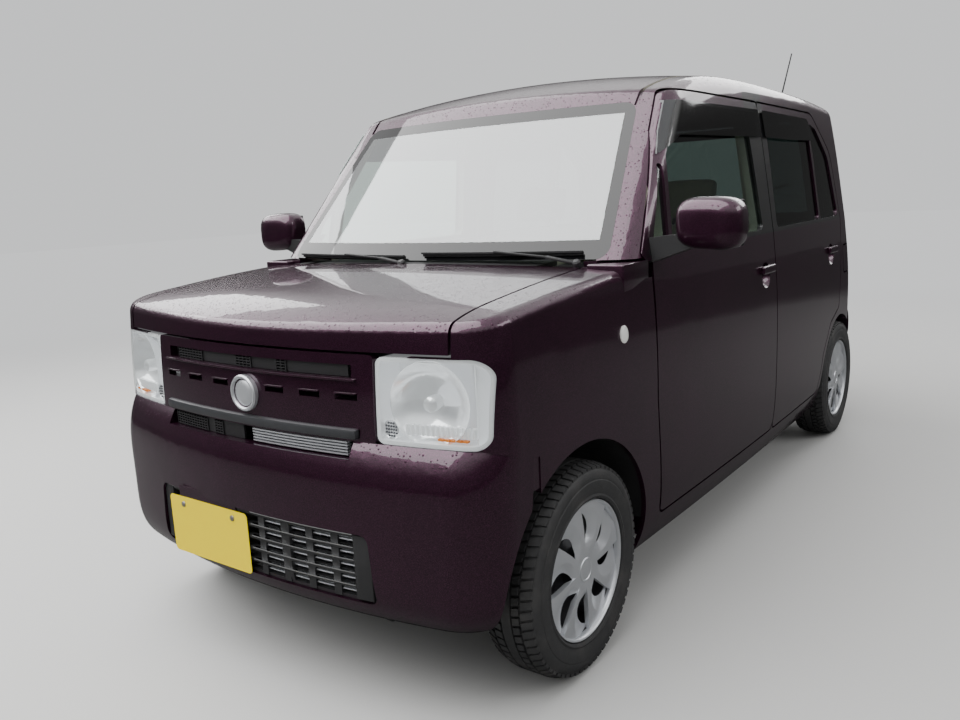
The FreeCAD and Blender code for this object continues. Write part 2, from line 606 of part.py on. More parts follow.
# A front door's gooseneck reaches in round the wing's edge, in a room cut into the hinge post
front_skin_x = skin_x(FRONT_AXIS_Y, AXIS_Z)
front_axis_x = front_skin_x - depth
elbow_x = front_skin_x - DOOR_HINGE_DEPTH
post_x = front_skin_x - door_wall - gap - FRONT_POST_BITE
strap_foot_y = FRONT_DOOR_EDGE_Y + REBATE
stays = []
straps = []
hinge_rooms = []
for z in FRONT_HINGES:
    stays.append(lugs(front_axis_x, FRONT_AXIS_Y, z, post_x, pin, KNUCKLE))
    straps.append(strap(front_axis_x, FRONT_AXIS_Y, z, pin, KNUCKLE, [
        (elbow_x - STRAP / 2, elbow_x + STRAP / 2, FRONT_AXIS_Y - STRAP / 2, strap_foot_y),
        (elbow_x, front_axis_x, FRONT_AXIS_Y - STRAP / 2, FRONT_AXIS_Y + STRAP / 2),
        (elbow_x, front_skin_x - door_wall + 10, strap_foot_y - STRAP, strap_foot_y)]))
    hinge_rooms.append(block(
        front_skin_x - HINGE_ROOM_DEPTH, front_skin_x - door_wall, FRONT_AXIS_Y - 18, strap_foot_y + 6,
        z - STRAP_TALL / 2 - 6, z + STRAP_TALL / 2 + 6))
side = side.cut(hinge_rooms)
# The door's front edge is hollowed by the circle that the wing's edge describes in it
turn_rows = [(z, math.hypot(y - gap - FRONT_AXIS_Y, depth) + TURN_SPACE) for y, z, corner in FRONT_DOOR[:3]]
turn_rows[-1] = (WING_REAR_TOP + gap, turn_rows[-1][1])
turning = []
for (z0, r0), (z1, r1) in zip(turn_rows, turn_rows[1:]):
    turning.append(Part.makeCone(r0, r1, z1 - z0, V(front_axis_x, FRONT_AXIS_Y, z0)))
doors["front"] = doors["front"].cut(turning).fuse(straps)
# A rear door turns behind its own front edge, in pockets open to the centre pillar
rear_pin = size("rear_pin_radius")
REAR_KNUCKLE = 7
SKIN = 4
TURN_EDGE, TURN_WALL = 24, 74
rear_axis_x = skin_x(REAR_AXIS_Y, AXIS_Z) - size("rear_hinge_depth")
rear_post_x = skin_x(REAR_AXIS_Y, AXIS_Z) - door_wall - gap - POST_BITE
behind_skin = ring_loft(LOWER_SECTIONS, FRONT_BOW, SKIN)
rear_edge_y = door_y + gap / 2
pockets = [block(0, 900, rear_edge_y - 1, rear_edge_y + TURN_EDGE, door_foot_z - 1, belt_z).common(
    ring_loft(LOWER_SECTIONS, FRONT_BOW, TURN_WALL))]
straps = []
for z in REAR_HINGES:
    stays.append(lugs(rear_axis_x, REAR_AXIS_Y, z, rear_post_x, rear_pin, REAR_KNUCKLE))
    straps.append(strap(rear_axis_x, REAR_AXIS_Y, z, rear_pin, REAR_KNUCKLE, [
        (rear_axis_x - STRAP / 2, rear_axis_x + STRAP / 2, REAR_AXIS_Y, REAR_AXIS_Y + 30)]))
    half_room = STRAP_TALL / 2 + LUG_ROOM / 2
    pocket = block(0, 900, rear_edge_y - 1, REAR_AXIS_Y + 14, z - half_room, z + half_room)
    pockets.append(pocket.common(behind_skin))
doors["rear"] = doors["rear"].cut(pockets).fuse(straps)
side = side.fuse([wheelhouse] + stays)

# Wheels and tyres: turned about X, outer face towards +X
hub_x = size("track") / 2
SPINDLE = 24
OPENINGS = 8


def value(text):
    return float(sheet.evalExpression(text))


def plane_of(body, role):
    return next(f for f in body.Origin.OriginFeatures if f.Role == role)


def outline_sketch(body, name, role, points):
    """A closed outline of straight lines, each corner held by two expressions."""
    sketch = body.newObject("Sketcher::SketchObject", name)
    sketch.AttachmentSupport = [(plane_of(body, role), "")]
    sketch.MapMode = "FlatFace"
    places = [V(value(u), value(v), 0) for u, v in points]
    for i, here in enumerate(places):
        sketch.addGeometry(Part.LineSegment(here, places[(i + 1) % len(places)]))
    for i in range(len(points)):
        sketch.addConstraint(Sketcher.Constraint("Coincident", i, 2, (i + 1) % len(points), 1))
    for i, texts in enumerate(points):
        for way, text, number in zip(("DistanceX", "DistanceY"), texts, (places[i].x, places[i].y)):
            held = sketch.addConstraint(Sketcher.Constraint(way, -1, 1, i, 1, number))
            sketch.setExpression("Constraints[%d]" % held, text)
    return sketch


def turned(label, points):
    body = doc.addObject("PartDesign::Body", label)
    sketch = outline_sketch(body, label + "_outline", "XY_Plane", points)
    turn = body.newObject("PartDesign::Revolution", label + "_turn")
    turn.Profile = sketch
    turn.ReferenceAxis = (plane_of(body, "X_Axis"), [""])
    turn.Angle = 360
    body.Tip = turn
    return body


# The tyre's outer shoulder leans in; its tread and walls are straight
TYRE_POINTS = [
    ("-Sizes.tyre_width / 2", "Sizes.rim_radius + Sizes.seat_gap"),
    ("-Sizes.tyre_width / 2", "Sizes.tyre_radius"),
    ("Sizes.tyre_width / 2 - 22", "Sizes.tyre_radius"),
    ("Sizes.tyre_width / 2", "Sizes.tyre_radius - 18"),
    ("Sizes.tyre_width / 2", "Sizes.rim_radius + Sizes.seat_gap"),
]
WHEEL_POINTS = [
    ("-Sizes.tyre_width / 2 + 2", "Sizes.rim_radius"),
    ("-Sizes.tyre_width / 2 + 2", "Sizes.rim_radius - 12"),
    ("30", "Sizes.rim_radius - 12"),
    ("30", "25"),
    ("62", "25"),
    ("62", "58"),
    ("48", "92"),
    ("64", "Sizes.rim_radius - 8"),
    ("Sizes.tyre_width / 2 - 2", "Sizes.rim_radius"),
]
# One opening of the wheel cover, leaning to one side: across, out from the hub
OPENING_POINTS = [
    ("-12", "96"),
    ("14", "92"),
    ("50", "Sizes.rim_radius - 26"),
    ("14", "Sizes.rim_radius - 16"),
    ("-16", "Sizes.rim_radius - 18"),
]


def wheel_body(label):
    body = turned(label, WHEEL_POINTS)
    sketch = outline_sketch(body, label + "_opening", "YZ_Plane", OPENING_POINTS)
    sketch.AttachmentOffset = FreeCAD.Placement(V(0, 0, 90), FreeCAD.Rotation())
    pocket = body.newObject("PartDesign::Pocket", label + "_pocket")
    pocket.Profile = sketch
    pocket.Type = 0
    pocket.Length = 52
    around = body.newObject("PartDesign::PolarPattern", label + "_openings")
    around.Originals = [pocket]
    around.Axis = (plane_of(body, "X_Axis"), [""])
    around.Angle = 360
    around.Occurrences = OPENINGS
    body.Tip = around
    return body


HUBS = [("front_left", 1, "front"), ("front_right", -1, "front"),
        ("rear_left", 1, "rear"), ("rear_right", -1, "rear")]
HUB_Y = {"front": ("-Sizes.car_length / 2 + Sizes.front_overhang"),
         "rear": ("-Sizes.car_length / 2 + Sizes.front_overhang + Sizes.wheelbase")}
for corner, way, end in HUBS:
    for body in (turned("tyre_" + corner, TYRE_POINTS), wheel_body("wheel_" + corner)):
        body.Placement = FreeCAD.Placement(V(0, 0, 0), FreeCAD.Rotation(V(0, 0, 1), 0 if way > 0 else 180))
        body.setExpression(".Placement.Base.x", "%d * Sizes.track / 2" % way)
        body.setExpression(".Placement.Base.y", HUB_Y[end])
        body.setExpression(".Placement.Base.z", "Sizes.tyre_radius")

# Front running gear: knuckle, strut, liner, crossmember with its arms
lean = math.radians(size("kingpin_lean"))
FOOT_Z = 165
STRUT_TOP_Z = 826
foot_x = size("kingpin_foot")
kingpin_way = V(-math.sin(lean), 0, math.cos(lean))


def on_kingpin(z):
    return V(foot_x - (z - FOOT_Z) * math.tan(lean), front_hub_y, z)


def along_kingpin(radius, z0, z1):
    a, b = on_kingpin(z0), on_kingpin(z1)
    return Part.makeCylinder(radius, (b - a).Length, a, kingpin_way)


rim_in_x = hub_x - size("tyre_width") / 2 + 24
CLAMP = 33
TUBE = 23
hub_face_x = hub_x + 38
knuckle = across(SPINDLE, front_hub_y, hub_z, 560, hub_face_x + 20)
knuckle = knuckle.fuse(across(58, front_hub_y, hub_z, rim_in_x - 22, rim_in_x + 26))
knuckle = knuckle.fuse(along_kingpin(CLAMP, 356, 408))
knuckle = knuckle.fuse(block(on_kingpin(380).x, rim_in_x, front_hub_y - 20, front_hub_y + 20, hub_z, 400))
knuckle = knuckle.fuse(block(
    rim_in_x - 18, foot_x + 22, front_hub_y - 22, front_hub_y + 22, FOOT_Z + 12, hub_z))
knuckle = knuckle.fuse(along_kingpin(20, FOOT_Z + 12, FOOT_Z + 40))
knuckle = knuckle.fuse(block(rim_in_x - 16, rim_in_x, front_hub_y, front_hub_y + 120, hub_z - 30, hub_z - 8))
knuckle = knuckle.cut(along_kingpin(TUBE + seat, 340, 500))
BALL_PIN = 12
knuckle = knuckle.cut(along_kingpin(BALL_PIN + seat, FOOT_Z - 10, FOOT_Z + 30))


def revolved(rows, foot, way):
    """A turned solid: rows of height along the axis and radius."""
    points = [V(0, 0, rows[0][0])] + [V(r, 0, h) for h, r in rows] + [V(0, 0, rows[-1][0])]
    solid = Part.Face(Part.makePolygon(points + points[:1])).revolve(V(0, 0, 0), V(0, 0, 1), 360)
    solid.Placement = FreeCAD.Placement(foot, FreeCAD.Rotation(V(0, 0, 1), way))
    return solid


# Strut: height over its foot, radius. The spring's turns stand out of its dust boot.
STRUT_FOOT_Z = 366
SPRING_FOOT, SPRING_PITCH, SPRING_TURNS = 246, 38, 5
BOOT_R, SPRING_R = 40, 54
STRUT_TALL = (STRUT_TOP_Z - STRUT_FOOT_Z) / math.cos(lean)
strut_rows = [
    (0, TUBE), (SPRING_FOOT - 8, TUBE), (SPRING_FOOT - 8, 62), (SPRING_FOOT, 62), (SPRING_FOOT, BOOT_R)]
for turn in range(SPRING_TURNS):
    low = SPRING_FOOT + turn * SPRING_PITCH
    strut_rows += [(low + 12, BOOT_R), (low + 12, SPRING_R), (low + 26, SPRING_R), (low + 26, BOOT_R)]
spring_head = SPRING_FOOT + SPRING_TURNS * SPRING_PITCH
strut_rows += [(spring_head, BOOT_R), (spring_head, 60), (STRUT_TALL - seat, 60)]
strut = revolved(strut_rows, on_kingpin(STRUT_FOOT_Z), kingpin_way)
TOWER = 74
liner = across(liner_r + liner_wall, front_hub_y, hub_z, liner_in_x, 716)
liner = liner.cut(across(liner_r, front_hub_y, hub_z, liner_in_x + liner_wall, 800))
liner = liner.common(block(0, 900, -1800, 0, hub_z + 20, 1000))
liner = liner.cut(block(300, liner_in_x + liner_wall, front_hub_y - 130, front_hub_y + 130, 0, 420))
liner = liner.common(nose_solid(skin + 1)).cut(front_bumper)
tower = along_kingpin(TOWER + liner_wall, 600, STRUT_TOP_Z + liner_wall)
tower = tower.cut(along_kingpin(TOWER, 500, STRUT_TOP_Z))
tower = tower.cut(across(liner_r + 1, front_hub_y, hub_z, 0, 900))
liner = liner.cut(along_kingpin(TOWER, 500, STRUT_TOP_Z)).fuse(tower)
ARM = 24
arm = prism([(296, front_hub_y + 110, 10), (foot_x - 14, front_hub_y - 20, 8), (foot_x + 20, front_hub_y, 18),
             (foot_x - 14, front_hub_y + 20, 8), (296, front_hub_y + 210, 10)], "above", FOOT_Z - ARM, FOOT_Z)
arm = arm.fuse(along_kingpin(BALL_PIN, FOOT_Z - 8, FOOT_Z + 25))
SUBFRAME_Z = FOOT_Z + 30
RAIL_Z0, RAIL_Z1 = 300, 400
rail_in_x = size("rail_in")
rail_out_x = liner_in_x - 3
subframe = block(-rail_out_x, rail_out_x, front_hub_y + 60, front_hub_y + 240, FOOT_Z - ARM - 6, SUBFRAME_Z)
subframe = subframe.fuse([arm, mirrored(arm)])
for x0, x1 in ((rail_in_x, rail_out_x), (-rail_out_x, -rail_in_x)):
    subframe = subframe.fuse(block(x0, x1, front_hub_y + 60, front_hub_y + 240, SUBFRAME_Z, RAIL_Z0 - seat))
engine = block(-300, 280, front_hub_y - 290, front_hub_y + 100, SUBFRAME_Z + seat, 800)

# Front rails with the radiator's frame across their ends, and a tow eye under it
FRAME_Y0, FRAME_Y1 = -1576, -1532
FRAME_Z0, FRAME_Z1 = 258, 750
TOW_Y, TOW_Z = -1554, 232
rails = []
for x0, x1 in ((rail_in_x, rail_out_x), (-rail_out_x, -rail_in_x)):
    rails.append(block(x0, x1, FRAME_Y0, FIREWALL_Y - seat, RAIL_Z0, RAIL_Z1))
    rails.append(block(x0, x1, FRAME_Y0, FRAME_Y1, FRAME_Z0, FRAME_Z1))
rails.append(block(-rail_out_x, rail_out_x, FRAME_Y0, FRAME_Y1, FRAME_Z0, RAIL_Z0))
rails.append(block(-rail_out_x, rail_out_x, FRAME_Y0, FRAME_Y1, FRAME_Z1 - 30, FRAME_Z1))
tow = across(26, TOW_Y, TOW_Z, rail_in_x + 20, rail_in_x + 32)
tow = tow.fuse(block(rail_in_x + 20, rail_in_x + 32, TOW_Y - 22, TOW_Y + 22, TOW_Z, FRAME_Z0))
front_frame = rails[0].fuse(rails[1:] + [tow]).removeSplitter()
front_frame = front_frame.cut(across(size("tow_eye"), TOW_Y, TOW_Z, rail_in_x, rail_out_x))
radiator = block(-rail_in_x + seat, rail_in_x - seat, -1572, -1540, RAIL_Z0 + seat, FRAME_Z1 - 30 - seat)

# Floor: front and rear pans, heel board, firewall and tail panel, within the sills
floor_wall = size("floor_wall")
PAN_EDGE = door_wall + pillar_wall + gap + 1
HEEL_Y = 520
REAR_PAN_Z = 372
pan_space = ring_loft(LOWER_SECTIONS, FRONT_BOW, PAN_EDGE)
floor = block(-900, 900, FIREWALL_Y, HEEL_Y + floor_wall, sill_z + 4, sill_z + 4 + floor_wall)
floor = floor.fuse(block(-900, 900, HEEL_Y, HEEL_Y + floor_wall, sill_z + 4, REAR_PAN_Z + floor_wall))
floor = floor.fuse(block(-900, 900, HEEL_Y, 1800, REAR_PAN_Z, REAR_PAN_Z + floor_wall))
floor = floor.fuse(block(-900, 900, FIREWALL_Y, FIREWALL_Y + floor_wall, sill_z + 4, 1000))
floor = floor.common(pan_space).cut([liner_room, mirrored(liner_room), house_room, mirrored(house_room)])
# Rear running gear: torsion beam with trailing arms, spindles, springs and dampers
BEAM_Y = rear_hub_y - 90
rear_beam = across(36, BEAM_Y, hub_z - 20, -530, 530)
rear_floor_z = REAR_PAN_Z
for way in (-1, 1):
    x = way * 490
    rear_arm = block(x - 22, x + 22, rear_hub_y - 430, rear_hub_y + 40, hub_z - 50, hub_z + 6)
    rear_arm = rear_arm.fuse(across(30, rear_hub_y - 430, hub_z - 22, x - 34, x + 34))
    rear_arm = rear_arm.fuse(block(
        x - 30, x + 30, rear_hub_y - 456, rear_hub_y - 404, hub_z - 22, rear_floor_z - seat))
    rear_arm = rear_arm.fuse(block(x - 40, x + 40, rear_hub_y - 44, rear_hub_y + 44, hub_z - 50, hub_z + 50))
    rear_arm = rear_arm.fuse(across(SPINDLE, rear_hub_y, hub_z, *sorted((x, way * (hub_face_x + 20)))))
    spring_rows = [(0, 46), (14, 46), (18, 54), (28, 54), (32, 46), (rear_floor_z - seat - hub_z - 6, 46)]
    rear_arm = rear_arm.fuse(revolved(spring_rows, V(way * 470, BEAM_Y - 60, hub_z + 6), V(0, 0, 1)))
    rear_beam = rear_beam.fuse(rear_arm)
tank = block(-330, 330, HEEL_Y + 60, HEEL_Y + 370, 226, REAR_PAN_Z - seat)
tank = tank.makeFillet(34, [e for e in tank.Edges if e.CenterOfMass.z < 360])
exhaust = block(-420, 60, rear_hub_y + 150, rear_hub_y + 290, 236, 356)
exhaust = exhaust.makeFillet(44, [e for e in exhaust.Edges if abs(e.tangentAt(e.FirstParameter).x) > 0.9])
PIPE = 21
exhaust = exhaust.fuse(Part.makeCylinder(PIPE, 56, V(-360, rear_hub_y + 285, 280), V(0, 1, 0)))
exhaust = exhaust.fuse(block(-200, -160, rear_hub_y + 200, rear_hub_y + 240, 340, REAR_PAN_Z - seat))

# Cabin: dashboard, steering wheel, seats
pan_z = sill_z + 4 + floor_wall
DASH = [(FIREWALL_Y + floor_wall + seat, 560, 0), (FIREWALL_Y + floor_wall + seat, 1012, 0), (-700, 1004, 30),
        (-560, 930, 40), (-572, 800, 40), (-680, 660, 40)]
dash = prism(DASH, "side", -900, 900).common(pan_space)
DRIVER_X = -330
WHEEL_Y, WHEEL_Z = -395, 905
column_way = V(0, -math.cos(math.radians(32)), -math.sin(math.radians(32)))
grip_foot = V(DRIVER_X, WHEEL_Y, WHEEL_Z) - column_way * 13
steering = Part.makeCylinder(189, 26, grip_foot, column_way)
steering = steering.cut(Part.makeCylinder(162, 26, grip_foot, column_way))
steering = steering.fuse(Part.makeCylinder(48, 40, V(DRIVER_X, WHEEL_Y, WHEEL_Z) - column_way * 10, column_way))
steering = steering.fuse(Part.makeCylinder(24, 230, V(DRIVER_X, WHEEL_Y, WHEEL_Z), column_way))
spoke = Part.makeBox(344, 36, 16, V(-172, -18, -8))
spoke.Placement = FreeCAD.Placement(V(DRIVER_X, WHEEL_Y, WHEEL_Z), FreeCAD.Rotation(V(0, 0, 1), column_way))
steering = steering.fuse(spoke).cut(dash)


FRONT_CUSHION = [
    (-330, pan_z + 160, 60), (-330, pan_z + 320, 60), (190, pan_z + 290, 50), (170, pan_z + 130, 30)]
FRONT_BACK = [(180, pan_z + 255, 20), (84, pan_z + 265, 30), (250, 1090, 60), (350, 1080, 40)]
HEAD_REST = [(262, 1110, 30), (318, 1260, 30), (392, 1236, 30), (346, 1098, 30)]
rear_pan_top = REAR_PAN_Z + floor_wall + seat
REAR_CUSHION = [(600, rear_pan_top, 30), (590, 560, 60), (1080, 540, 50), (1090, rear_pan_top, 20)]
REAR_BACK = [(1060, 500, 20), (1000, 560, 30), (1170, 1060, 60), (1270, 1040, 40), (1190, 500, 40)]
SEAT_PLACES = (-345, 345)
front_seats = []
for x in SEAT_PLACES:
    one = prism(FRONT_CUSHION, "side", x - 245, x + 245).fuse(prism(FRONT_BACK, "side", x - 235, x + 235))
    one = one.fuse(prism(HEAD_REST, "side", x - 120, x + 120))
    one = one.fuse([Part.makeCylinder(8, 60, V(x + dx, 320, 1060)) for dx in (-50, 50)])
    for dx in (-180, 180):
        one = one.fuse(block(x + dx - 18, x + dx + 18, -280, 170, pan_z + seat, pan_z + 190))
    front_seats.append(one)
rear_seat = []
for way in (-1, 1):
    x0, x1 = sorted((way * 8, way * 520))
    rear_seat.append(prism(REAR_CUSHION, "side", x0, x1).fuse(prism(REAR_BACK, "side", x0, x1)))


# Hatch hinges at the roof's rear end, bonnet hinges before the firewall
def hinge_along_x(x, axis, elbow, foot, half=15):
    """The pin along X, and the strap that turns on it, from foot over elbow to the axis, each (y, z)."""
    bars = []
    for a, b in ((axis, elbow), (elbow, foot)):
        way = V(0, b[0] - a[0], b[1] - a[1])
        bar = Part.makeBox(2 * half, STRAP, way.Length + STRAP / 2, V(-half, -STRAP / 2, 0))
        turn = FreeCAD.Rotation(V(1, 0, 0), -math.degrees(math.atan2(way.y, way.z)))
        bar.Placement = FreeCAD.Placement(V(x, a[0], a[1]), turn)
        bars.append(bar)
    whole = across(KNUCKLE, axis[0], axis[1], x - half, x + half).fuse(bars)
    whole = whole.cut(across(pin + seat, axis[0], axis[1], x - half, x + half))
    stay = across(pin, axis[0], axis[1], x - half - LUG - 1, x + half + LUG + 1)
    return stay, whole


HATCH_TOP_Z = 1520
HATCH_AXIS = (1541, HATCH_TOP_Z + 30)
HATCH_HINGE_X = 330
HATCH_TURN = 42
pocket_half = 15 + 2 * LUG + 8
hatch = hatch.cut(across(HATCH_TURN, HATCH_AXIS[0], HATCH_AXIS[1], -600, 600))
hatch_straps = []
hatch_stays = []
pockets = []
for x in (-HATCH_HINGE_X, HATCH_HINGE_X):
    elbow = (HATCH_AXIS[0] - 36, HATCH_AXIS[1])
    foot = (HATCH_AXIS[0] - 36, HATCH_TOP_Z - 46)
    stay, strap_x = hinge_along_x(x, HATCH_AXIS, elbow, foot)
    strap_x = strap_x.fuse(block(x - 15, x + 15, foot[0], foot[0] + 40, foot[1], foot[1] + 14))
    hatch_straps.append(strap_x)
    pockets.append(block(
        x - pocket_half, x + pocket_half, 1440, HATCH_AXIS[0] + 15, HATCH_TOP_Z - 10, HATCH_AXIS[1] + 17))
    for way in (-1, 1):
        x0 = x + way * 16
        lug = block(*sorted((x0, x0 + way * LUG)), HATCH_AXIS[0] - 10, HATCH_AXIS[0] + 10,
                    HATCH_AXIS[1] - 10, HATCH_AXIS[1] + 24)
        stay = stay.fuse(lug)
    hatch_stays.append(stay)
hatch = hatch.fuse(hatch_straps)
roof = roof.cut(pockets).fuse(hatch_stays)
bonnet_under = nose_solid(4)
bonnet_straps = []
bonnet_stays = []
for x in (-BONNET_HINGE_X, BONNET_HINGE_X):
    elbow = (BONNET_AXIS[0], BONNET_AXIS[1] - 24)
    foot = (BONNET_AXIS[0] - 140, BONNET_AXIS[1] - 24)
    stay, strap_x = hinge_along_x(x, BONNET_AXIS, elbow, foot)
    strap_x = strap_x.fuse(block(x - 15, x + 15, foot[0] - 10, foot[0] + 30, foot[1] - 4, foot[1] + 40))
    bonnet_straps.append(strap_x.common(bonnet_under))
    for way in (-1, 1):
        x0 = x + way * 16
        lug = block(*sorted((x0, x0 + way * LUG)), BONNET_AXIS[0] - 10, FIREWALL_Y + 4,
                    BONNET_AXIS[1] - 12, BONNET_AXIS[1] + 12)
        stay = stay.fuse(lug)
    lug_hold = block(x - 22, x + 22, FIREWALL_Y, FIREWALL_Y + floor_wall, 990, BONNET_AXIS[1] + 12)
    bonnet_stays.append(stay.fuse(lug_hold))
bonnet = bonnet.fuse(bonnet_straps)
floor = floor.fuse(bonnet_stays)

# Fuel lid on the left rear quarter, over a cup; a gooseneck turns it on a pin before its edge
LID_EDGE_Y = 1352
LID = [(LID_EDGE_Y, 790, 22), (LID_EDGE_Y, 915, 22), (1478, 915, 22), (1478, 790, 22)]
LID_WALL = 10
CUP_DEEP = 76
LID_AXIS_BEFORE, LID_AXIS_DEEP, LID_ELBOW = 40, 16, 42
LID_PIN, LID_KNUCKLE, LID_STRAP, LID_BACK = 2.5, 5, 5, 8
lid_axis_y = LID_EDGE_Y - LID_AXIS_BEFORE
lid_axis_x = skin_x(lid_axis_y, 850) - LID_AXIS_DEEP
lid_low, lid_high = 832, 872
lid_room = ring_loft(LOWER_SECTIONS, FRONT_BOW, LID_WALL)
cup_floor = ring_loft(LOWER_SECTIONS, FRONT_BOW, CUP_DEEP)
lid_cup = lower_outer.common(side_cut(LID, gap)).cut(cup_floor)
hinge_room = behind_skin.common(block(600, 760, lid_axis_y - 14, 1400, 806, 899)).cut(cup_floor)
fuel_lid = lower_outer.common(side_cut(LID)).cut(lid_room)
lid_foot_y = LID_EDGE_Y + 12
lid_bars = [
    (lid_axis_x - LID_ELBOW - LID_STRAP, lid_axis_x - LID_ELBOW, lid_axis_y - LID_BACK, lid_foot_y + LID_STRAP),
    (lid_axis_x - LID_ELBOW, lid_axis_x, lid_axis_y - LID_BACK, lid_axis_y - LID_BACK + LID_STRAP),
    (lid_axis_x - LID_ELBOW, lid_axis_x + LID_AXIS_DEEP - LID_WALL / 2, lid_foot_y, lid_foot_y + LID_STRAP),
]
lid_bars = [block(*bar, lid_low, lid_high) for bar in lid_bars]
lid_knuckle = Part.makeCylinder(LID_KNUCKLE, lid_high - lid_low, V(lid_axis_x, lid_axis_y, lid_low))
lid_strap = lid_bars[0].fuse(lid_bars[1:] + [lid_knuckle])
lid_strap = lid_strap.cut(Part.makeCylinder(LID_PIN + seat, 60, V(lid_axis_x, lid_axis_y, lid_low)))
fuel_lid = fuel_lid.fuse(lid_strap)
lid_pin = Part.makeCylinder(LID_PIN, 100, V(lid_axis_x, lid_axis_y, 802))
side_fuel = side.cut([lid_cup, hinge_room]).fuse(lid_pin)

# Door furniture: handles in their hollows, mirrors, wind visors
HANDLES = {"front": (146, 905), "rear": (1110, 902)}
for name, (y, z) in HANDLES.items():
    x = skin_x(y, z)
    hollow = Part.makeSphere(58, V(x + 34, y - 6, z - 4))
    grip = Part.makeBox(16, 138, 30, V(x - 1, y - 66, z - 2))
    grip = grip.makeFillet(7, grip.Edges)
    bridges = [block(x - 30, x + 6, y + y0, y + y1, z + 4, z + 22) for y0, y1 in ((-64, -46), (50, 66))]
    doors[name] = doors[name].cut(hollow).fuse(grip.fuse(bridges))
MIRROR_Y, MIRROR_Z = -745, 1130
MIRROR = [
    (752, MIRROR_Z - 75, 36), (957, MIRROR_Z - 75, 40), (957, MIRROR_Z + 75, 50), (752, MIRROR_Z + 75, 40)]
mirror = front_cut(MIRROR, MIRROR_Y - 46, MIRROR_Y + 46)
mirror = mirror.makeFillet(30, [e for e in mirror.Edges if e.BoundBox.YMax < MIRROR_Y - 45])
mirror = mirror.fuse(prism([(690, 1010, 0), (722, 1010, 0), (790, 1085, 0), (790, 1125, 0), (690, 1110, 0)],
                           "front", MIRROR_Y - 26, MIRROR_Y + 30))
mirror_hollow = prism([(772, MIRROR_Z - 56, 24), (938, MIRROR_Z - 56, 24), (938, MIRROR_Z + 56, 24),
                       (772, MIRROR_Z + 56, 24)], "front", MIRROR_Y + 34, MIRROR_Y + 60)
mirror_glass = prism([(774, MIRROR_Z - 54, 22), (936, MIRROR_Z - 54, 22), (936, MIRROR_Z + 54, 22),
                      (774, MIRROR_Z + 54, 22)], "front", MIRROR_Y + 34, MIRROR_Y + 40)
mirror = mirror.cut(mirror_hollow).cut(cabin_solid(0, 0)).cut(lower_outer)
FRONT_VISOR = [
    (-690, 1306, 6), (-640, 1392, 0), (-548, 1489, 30), (240, 1495, 10), (240, 1396, 10), (-500, 1385, 40)]
REAR_VISOR = [(285, 1396, 10), (285, 1495, 10), (900, 1490, 40), (992, 1400, 20), (600, 1394, 100)]
visor_out = cabin_solid(-8, -8)
visor_shell = visor_out.cut(cabin_solid(-8 + size("visor_wall"), -5))
visor_top = block(SIDE_START, SIDE_REACH, -720, 1010, 1482, 1500)
visor_rim = visor_out.common(visor_top).cut(cabin_solid(-seat, -seat))
visors = {}
for name, outline, door in (("front", FRONT_VISOR, FRONT_DOOR), ("rear", REAR_VISOR, REAR_DOOR)):
    place = side_cut(outline).common(side_cut(door, -seat))
    visors[name] = visor_shell.common(place).fuse(visor_rim.common(place))

# Grilles behind the bumper's openings, and the front number plate's bracket
OPENING = [(-415, 302, 24), (415, 302, 24), (400, 476, 24), (-400, 476, 24)]
PLATE_BRACKET_Y = -1690
PLATE_HOLE_Z = 440
plate_x = size("plate_middle")
plate_bracket = block(plate_x - 120, plate_x + 120, PLATE_BRACKET_Y, PLATE_BRACKET_Y + 5, 385, 492)
bracket_room = block(plate_x - 121, plate_x + 121, nose_y - 10, PLATE_BRACKET_Y + 6, 384, 493)
for x in (plate_x - plate_half, plate_x + plate_half):
    plate_hole_foot = V(x, nose_y - 20, PLATE_HOLE_Z)
    plate_bracket = plate_bracket.cut(Part.makeCylinder(size("plate_hole"), 60, plate_hole_foot, V(0, 1, 0)))
front_bumper = front_bumper.cut([
    front_cut(OPENING, nose_y - 10, -1560),
    block(-SLOT_HALF, SLOT_HALF, nose_y - 10, -1560, 650, FRONT_BUMPER_TOP + 2)])
front_bumper = front_bumper.fuse(plate_bracket)
BLADES = 5
BLADE = 9
grille_front = ring_loft(FRONT_BUMPER_SECTIONS, FRONT_BOW, 10)
lower_grille = grille_front.cut(ring_loft(FRONT_BUMPER_SECTIONS, FRONT_BOW, bumper_wall - 2))
lower_grille = lower_grille.common(front_cut(OPENING, nose_y - 10, -1560, -seat))
pitch = 160 / BLADES
between_blades = []
for i in range(BLADES):
    z = 312 + i * pitch
    for x0, x1 in ((-392, -150), (-138, 138), (150, 392)):
        between_blades.append(block(x0, x1, -1800, -1500, z, z + pitch - BLADE))
lower_grille = lower_grille.cut(between_blades + [bracket_room])
mesh_back = nose_solid(PANEL_WALL + 12)
upper_grille = nose_solid(PANEL_WALL + seat).cut(mesh_back).common(block(-356, 356, -1800, -1500, 800, 880))
upper_grille = upper_grille.cut([block(-345, 345, -1800, -1500, 842 + i * 7, 846 + i * 7) for i in range(4)])
slot_grille = mesh_back.cut(nose_solid(PANEL_WALL + 20)).common(block(-362, 362, -1800, -1500, 640, 720))
slot_grille = slot_grille.cut([block(-345, 345, -1800, -1500, 652 + i * 8, 657 + i * 8) for i in range(5)])

